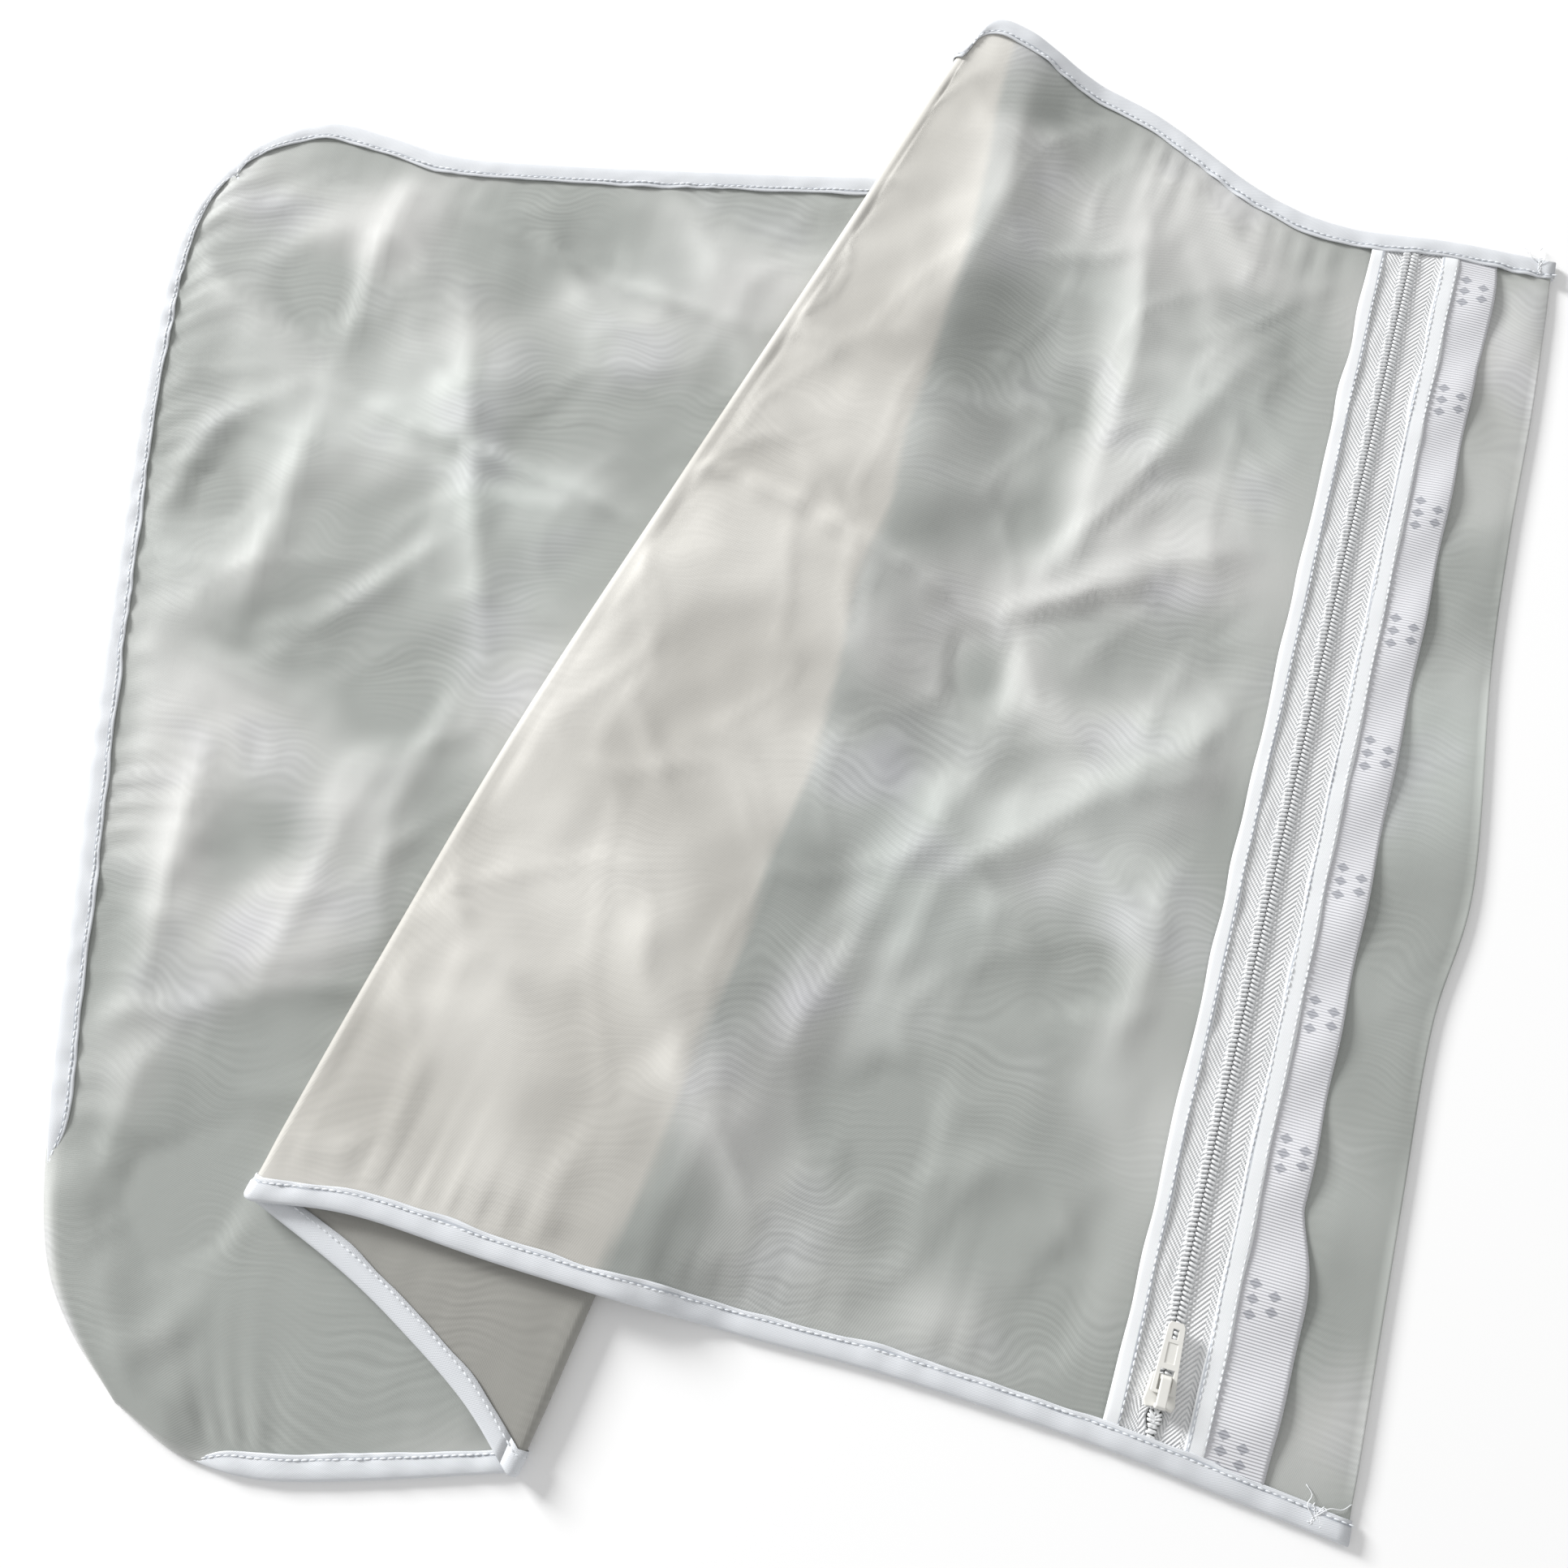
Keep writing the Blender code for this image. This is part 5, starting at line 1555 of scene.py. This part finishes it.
@dataclass
class Zip:
    """The zip's tapes, coils, facings and stitch rows."""

    layout: Layout
    effects: Effects
    repeater: Repeater
    facing: SatinFinish = SatinFinish((0.92, 0.935, 0.95), (0.84, 0.86, 0.89), sewn=(-10.35, 12.5))
    woven: HerringboneFinish = HerringboneFinish()
    tape_across: tuple = ((-13.9, -0.10), (0.10, 17.0))
    facing_across: tuple = ((-15.0, -9.6), (11.7, 18.4))
    tape_count: tuple = (240, 14)
    facing_count: tuple = (240, 9)
    length: float = 450.0
    coil_pitch: float = 1.6
    coil_gap: float = 3.6
    slider_along: float = 436.0
    opening: float = 2.6
    stitch_rows: tuple = ((-10.35, 4.18), (12.5, 4.18), (17.6, 4.14))
    stitch_gap: float = 8.0

    def build(self) -> list[bpy.types.Object]:
        """Makes every piece but the slider."""
        made = []
        for side, span, slot in ((Side.LEFT, self.tape_across[0], "left"),
                                 (Side.RIGHT, self.tape_across[1], "right")):
            made.append(self._tape(side, span, slot))
        for k, slot in enumerate(("left", "right")):
            made.append(self._facing(self.facing_across[k], slot))
        made += [self._coil(Side.LEFT), self._coil(Side.RIGHT)]
        made.append(self._rows())
        return made

    def limits(self, across: Array, gap: float) -> tuple[Array, Array]:
        """How far along the zip its pieces run, short of the bag's edge by a gap."""
        lay, ends = self.layout, []
        for column, way in ((0, 1), (-1, -1)):
            near = slice(lay.marks[0] - 45, None)
            x, y = lay.zip_across[near, column], lay.zip_along[near, column]
            order = np.argsort(x)
            ends.append(np.interp(across, x[order], y[order]) + way * gap)
        return ends[0], ends[1]

    def _opening(self, along: Array) -> Array:
        """How far the two sides stand apart below the slider."""
        beyond = np.clip(along - self.slider_along - 3.0, 0, None)
        return self.opening * ease(beyond / 4.5) * (1 - 0.55 * ease((beyond - 5.0) / 5.0))

    def _strip(self, span: tuple, level: Array, count: tuple, gap: float = 3.2) -> tuple[Array, Array]:
        """A grid beside the zip, and its place on the cloth."""
        across = np.linspace(*span, count[1])
        first, last = self.limits(across, gap)
        share = np.linspace(0, 1, count[0])[:, None]
        along = first + (last - first) * share
        wide = np.broadcast_to(across, along.shape)
        end = ease(np.minimum(along - first, last - along) / 9.0)
        height = level * end + (1 - end) * (2.15 + 0.12 * (level - 2.8))
        return self.layout.zip_line.point(wide, along, height), np.stack([wide, along], axis=2)

    def _tape(self, side: Side, span: tuple, slot: str) -> bpy.types.Object:
        """One woven side of the zip."""
        count = self.tape_count
        across = np.linspace(*span, count[1])[None]
        share = np.linspace(0, 1, count[0])[:, None]
        flat = np.stack(np.broadcast_arrays(share * self.length, across), axis=2)
        level = 3.05 + 0.16 * soft_noise(flat, 24.0, 91 + side.value) * ease((np.abs(across) - 3.4) / 3)
        grid, uv = self._strip(span, level, count)
        inner = 1 - np.clip((np.abs(uv[:, :, 0]) - 0.45) / 9.0, 0, 1)
        shift = side.value * self._opening(uv[:, :, 1]) * inner
        grid[:, :, :2] += shift[:, :, None] * self.layout.zip_line.right
        normal = np.broadcast_to(UP, grid.shape)
        look = self.woven.build(f"zip_tape_{slot}_look", self.effects)
        offset = uv - np.array([3.1 * side.value, 0.0])
        made = slab_of(f"zip_tape_{slot}_woven", grid, normal, 0.45, look, offset)
        return dress(made, Body.BAG, f"zip_tape_{slot}", f"zip_tape_{slot}")

    def _facing(self, span: tuple, slot: str) -> bpy.types.Object:
        """One folded strip of tape over the edge of the zip."""
        count = self.facing_count
        share = np.linspace(0, 1, count[0])[:, None]
        middle = np.abs(np.linspace(-1, 1, count[1]))[None]
        line = np.stack([share * self.length, np.zeros_like(share)], axis=2)
        ripple = 0.09 * soft_noise(line, 16.0, 95)
        level = 3.98 - 0.3 * middle**6 + ripple
        grid, uv = self._strip(span, level, count)
        sway = 0.22 * soft_noise(line, 38.0, 97)
        grid[:, :, :2] += (sway * (middle > 0.8))[:, :, None] * self.layout.zip_line.right
        look = self.facing.build(f"zip_facing_{slot}_look", self.effects)
        made = slab_of(f"zip_facing_{slot}_tape", grid, np.broadcast_to(UP, grid.shape), 0.42, look, uv)
        return dress(made, Body.BAG, f"zip_facing_{slot}", f"zip_facing_{slot}")

    def _tooth(self, side: Side) -> bpy.types.Object:
        """One turn of the coil: a slanted bar across the tape with two swellings."""
        stations = ((0.09, 0.42, 0.55), (0.75, 0.60, 0.80), (1.3, 0.62, 0.92), (1.8, 0.50, 0.72),
                    (2.4, 0.62, 0.86), (2.95, 0.42, 0.50))
        corners = [(math.cos(a), math.sin(a)) for a in np.linspace(0, 2 * math.pi, 7)[:-1]]
        points = [(c * half + 0.26 * y, -side.value * y, s * tall * 0.8)
                  for y, half, tall in stations for c, s in corners]
        faces = [list(range(6)), list(range(30, 36))]
        faces += [[6 * i + k, 6 * i + (k + 1) % 6, 6 * i + 6 + (k + 1) % 6, 6 * i + 6 + k]
                  for i in range(5) for k in range(6)]
        shape = bmesh.new()
        corner = [shape.verts.new(tuple(c * 0.001 for c in p)) for p in points]
        for face in faces:
            shape.faces.new([corner[k] for k in face])
        return item_of(shape)

    def _coil(self, side: Side) -> bpy.types.Object:
        """One side's coil."""
        first, last = self.limits(np.array([0.0]), self.coil_gap)
        offset = 0.0 if side is Side.LEFT else self.coil_pitch / 2
        along = np.arange(first[0] + offset, last[0], 2.0)
        end = ease(np.minimum(along - first[0], last[0] - along) / 9.0)
        level = 2.75 + 1.4 * end
        across = side.value * self._opening(along)
        points = self.layout.zip_line.point(across, along, level)
        look = PlainFinish((0.87, 0.88, 0.89), (0.74, 0.75, 0.76), 0.28, scale=400.0)
        slot = "coil_left" if side is Side.LEFT else "coil_right"
        upward = np.tile(UP, (len(points), 1))
        made = self.repeater.copies(slot + "_teeth", [(points, upward)], self._tooth(side),
                                    self.coil_pitch, look.build(slot + "_look", self.effects))
        return dress(made, Body.BAG, slot, slot)

    def _rows(self) -> bpy.types.Object:
        """Stitches beside both facings."""
        paths = []
        for across, level in self.stitch_rows:
            first, last = self.limits(np.array([across]), self.stitch_gap)
            along = np.linspace(first[0], last[0], 160)
            sway = 0.25 * np.sin(along / 21.0) + 0.15 * np.sin(along / 7.3)
            level_at = level - 0.9 * (1 - ease(np.minimum(along - first[0], last[0] - along + 0.1) / 5.0))
            points = self.layout.zip_line.point(np.zeros_like(along), along, level_at)
            points[:, :2] += (across + sway)[:, None] * self.layout.zip_line.right
            paths.append((points, np.tile(UP, (len(points), 1))))
        thread = PlainFinish((0.86, 0.88, 0.90), (0.66, 0.69, 0.72), 0.5, scale=500.0)
        made = self.repeater.copies("zip_stitches", paths, bead(1.95, 0.75, 0.55), 2.5,
                                    thread.build("zip_thread_look", self.effects), 0.12, 5)
        return dress(made, Body.BAG, "zip_facing_left")


@dataclass
class Ribbon:
    """The loose printed ribbon caught under the right facing."""

    layout: Layout
    zip: Zip
    effects: Effects
    finish: RibbedFinish = RibbedFinish()
    start: float = 16.9
    hinge: float = 19.0
    thick: float = 0.3
    lift: float = 2.5
    rest: float = 3.12
    least: float = 2.95
    count: tuple = (300, 15)
    middle: float = 27.0
    gap: float = 3.6
    widths: tuple = (33.0, 39.5)
    wave_pitch: float = 47.0
    edge: Curve = ((249, 173), (247, 163), (239, 136), (227, 108), (221, 86), (206, 67), (200, 32), (192, -5),
                   (188, -29), (178, -61), (167, -92), (161, -117), (151, -149), (146, -175), (144, -206),
                   (126, -262))

    def build(self) -> bpy.types.Object:
        """Makes the ribbon, which bends across its sewn edge."""
        line = self.layout.zip_line
        edge = smooth(self.edge, 300)
        along_edge, across_edge = (edge - line.origin) @ line.down, (edge - line.origin) @ line.right
        rows, columns = self.count
        first, last = self.zip.limits(np.array([self.middle]), self.gap)
        along = np.linspace(first[0], last[0], rows)[:, None]
        share = np.linspace(0, 1, columns)[None]
        reach = np.interp(along[:, 0], along_edge, across_edge)
        reach = np.clip(reach, *self.widths)[:, None]
        across = self.start + share * (reach - self.start)
        skew = self.zip.limits(across, self.gap)
        tilt = np.interp(np.linspace(0, 1, rows), (0, 1), (1, 0))[:, None]
        along = along + (skew[0] - first[0]) * tilt + (skew[1] - last[0]) * (1 - tilt)
        turn = along / self.wave_pitch + 0.2 * np.sin(along / 60.0) + 0.12 * share
        wave = 0.5 - 0.5 * np.cos(2 * math.pi * turn)
        small = 0.25 * np.sin(along / 8.3 + 3 * share) + 0.2 * np.sin(along / 13.0)
        out = np.clip((across - self.hinge) / (reach - self.hinge), 0, 1)
        end = ease(np.minimum(along - skew[0], skew[1] - along) / 22.0)
        level = self.rest + out**0.9 * (self.lift * wave * end * np.sin(0.5 + 1.9 * out) + small * 0.5 * end)
        level = np.maximum(level, self.least)
        tip = ease(np.minimum(along - skew[0], skew[1] - along) / 8.0)
        level = level * tip + 2.7 * (1 - tip)
        grid = np.concatenate([line.origin + across[..., None] * line.right + along[..., None] * line.down,
                               level[..., None]], axis=2)
        uv = np.stack([across - self.start - 1.0, along + 8.0], axis=2)
        look = self.finish.build("ribbon_look", self.effects)
        made = slab_of("ribbon_loose", grid, Layout.normals_of(grid), self.thick, look, uv)
        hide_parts("ribbon")
        return made

    def join(self, made: bpy.types.Object) -> None:
        """Bakes the ribbon's place into its mesh."""
        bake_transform(made)


# ---------------------------------------------------------------- small parts


@dataclass
class Hardware:
    """The slider, its crown and spring, and its pull, which keep their own shapes."""

    effects: Effects
    paint: PaintedFinish = PaintedFinish()

    def build(self) -> None:
        """Gives each metal part its finish and rounds its shading."""
        steel = PlainFinish((0.55, 0.55, 0.56), (0.42, 0.42, 0.43), 0.25, 1.0, 900.0)
        for node in ("slider_body", "slider_crown", "pull_tab"):
            self._coat(node, self.paint.build(node + "_look", self.effects))
        self._coat("lock_spring", steel.build("lock_spring_look", self.effects))

    @staticmethod
    def _coat(node: str, look: bpy.types.Material) -> None:
        """Puts a material on one CAD node."""
        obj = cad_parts[node]
        obj.data.materials.clear()
        obj.data.materials.append(look)
        log.info("%s: finish set", node)


@dataclass
class Threads:
    """Bar tacks at the corners of the zip end, and the loose thread tails beside them."""

    layout: Layout
    effects: Effects
    repeater: Repeater
    radius: float = 0.16
    bottom: tuple = (142.0, -271.0)
    top: tuple = (265.5, 173.5)
    level: float = 3.15

    def build(self) -> list[bpy.types.Object]:
        """Makes the tacks and the tails."""
        look = PlainFinish((0.90, 0.91, 0.93), (0.70, 0.72, 0.74), 0.5, scale=600.0)
        material = look.build("tack_look", self.effects)
        return [self._tacks(material), self._tails(material)]

    def _tacks(self, look: bpy.types.Material) -> bpy.types.Object:
        """Short zigzag rows of stitches."""
        paths = []
        for centre, way in ((self.bottom, (0.34, -0.94)), (self.bottom, (-0.75, -0.66)),
                            (self.top, (-0.17, -0.98))):
            step = np.linspace(-3.4, 3.4, 14)
            side = 0.5 * (-1.0) ** np.arange(14)
            x = centre[0] + step * way[0] - side * way[1]
            y = centre[1] + step * way[1] + side * way[0]
            points = np.column_stack([x, y, np.full(14, self.level)])
            paths.append((points, np.tile(UP, (14, 1))))
        made = self.repeater.copies("bar_tacks", paths, bead(1.25, 0.42, 0.34), 0.9, look, 0.1, 9)
        return dress(made, Body.BAG, "edge_binding_short")

    def _tails(self, look: bpy.types.Material) -> bpy.types.Object:
        """Loose ends of thread, each a thin curved tube."""
        lines = (
            ((142, -271, 3.2), (146, -269, 3.6), (150, -269.5, 3.0), (153.5, -268, 2.2)),
            ((141, -272, 3.2), (139, -268, 3.6), (141, -265, 3.0), (139.5, -262, 2.6)),
            ((266, 174, 3.2), (268, 177, 3.8), (266.5, 180, 2.6), (268.5, 182.5, 1.2)),
            ((265, 175, 3.2), (262, 178, 3.8), (263, 181, 2.2), (261, 183, 1.0)),
        )
        points, faces, sides = [], [], 5
        for line in lines:
            centre = smooth(line, 12)
            along = np.gradient(centre, axis=0)
            along /= np.linalg.norm(along, axis=1)[:, None]
            first = np.cross(along, UP)
            first /= np.linalg.norm(first, axis=1)[:, None]
            second, base = np.cross(first, along), len(points)
            for k in range(len(centre)):
                for turn in np.linspace(0, 2 * math.pi, sides, endpoint=False):
                    way = math.cos(turn) * first[k] + math.sin(turn) * second[k]
                    points.append(centre[k] + self.radius * way)
            faces += [list(range(base, base + sides)), list(range(len(points) - sides, len(points)))]
            for i in range(len(centre) - 1):
                row = base + i * sides
                faces += [[row + k, row + (k + 1) % sides, row + sides + (k + 1) % sides, row + sides + k]
                          for k in range(sides)]
        return dress(piece_of("thread_tails", np.array(points), faces, look), Body.BAG, "edge_binding_short")


# ---------------------------------------------------------------- studio


@dataclass
class Studio:
    """The floor, the lights and the camera."""

    place: tuple = (-0.0250, -0.1809, 0.5554)
    tilt: float = 15.0
    lens: float = 37.27
    floor: tuple = (0.99, 0.99, 0.99)
    sky: float = 0.58
    key_power: float = 335.0

    def build(self) -> None:
        """Sets everything up."""
        self._floor()
        world = bpy.data.worlds.new("studio")
        bpy.context.scene.world = world
        world.use_nodes = True
        sky = world.node_tree.nodes["Background"]
        sky.inputs["Color"].default_value = (1.0, 1.0, 1.0, 1.0)
        sky.inputs["Strength"].default_value = self.sky
        self._light("key", (-3.6, 3.0, 1.8), 1.4, self.key_power)
        self._camera()
        view = bpy.context.scene.view_settings
        view.view_transform, view.look, view.exposure = "Standard", "None", 0.0

    def _floor(self) -> None:
        """A plain pale floor."""
        mesh = bpy.data.meshes.new("floor")
        mesh.from_pydata([(-4, -4, 0), (4, -4, 0), (4, 4, 0), (-4, 4, 0)], [], [[0, 1, 2, 3]])
        floor = bpy.data.objects.new("floor", mesh)
        bpy.context.scene.collection.objects.link(floor)
        made, w, shader = blank("floor_look")
        set_constants(w, shader, Base_Color=self.floor, Roughness=0.9, Specular_IOR_Level=0.1)
        mesh.materials.append(made)

    @staticmethod
    def _light(name: str, place: tuple, size: float, power: float) -> None:
        """A soft square light that faces the bag."""
        data = bpy.data.lights.new(name, "AREA")
        data.size, data.energy = size, power
        light = bpy.data.objects.new(name, data)
        light.location = place
        way = -np.array(place)
        light.rotation_euler = (
            math.atan2(math.hypot(way[0], way[1]), -way[2]), 0.0, math.atan2(way[1], way[0]) - math.pi / 2)
        bpy.context.scene.collection.objects.link(light)

    def _camera(self) -> None:
        """The camera, a little in front of the bag and tilted towards it."""
        data = bpy.data.cameras.new("camera")
        data.lens, data.sensor_width = self.lens, 36.0
        data.clip_start, data.clip_end = 0.01, 20.0
        camera = bpy.data.objects.new("camera", data)
        camera.location = self.place
        camera.rotation_euler = (math.radians(self.tilt), 0.0, 0.0)
        bpy.context.scene.collection.objects.link(camera)
        bpy.context.scene.camera = camera


def declare(layout: Layout, panels: list) -> None:
    """Works out how long each ply was cut, and keeps nothing.

    Args:
        layout: The bag's surface, which gives the plies' flat sizes.
        panels: The front and back plies.
    """
    for panel, last, extra in ((panels[0], layout.marks[0] + 1, 0.0), (panels[1], None, 1.0)):
        rows = slice(0, last)
        strip = slice(layout.marks[1], None)
        long = float(layout.along[rows][-1].max()) * 0.001
        if extra:
            long += float((layout.along[-1] - layout.along[layout.marks[1]]).max()) * 0.001


def main() -> None:
    """Builds the bag in order and reports each piece."""
    logging.basicConfig(level=logging.INFO, format="%(message)s")
    effects, layout = Effects(), Layout()
    Studio().build()
    height = Drape(layout).build()
    repeater = Repeater()
    panels = Panels(layout, height, effects).build()
    tape = EdgeTape(layout, effects, repeater).build()
    zip_maker = Zip(layout, effects, repeater)
    zipped = zip_maker.build()
    ribbon_maker = Ribbon(layout, zip_maker, effects)
    ribbon = ribbon_maker.build()
    ribbon_maker.join(ribbon)
    Hardware(effects).build()
    threads = Threads(layout, effects, repeater).build()
    declare(layout, panels)


if __name__ == "__main__":
    main()
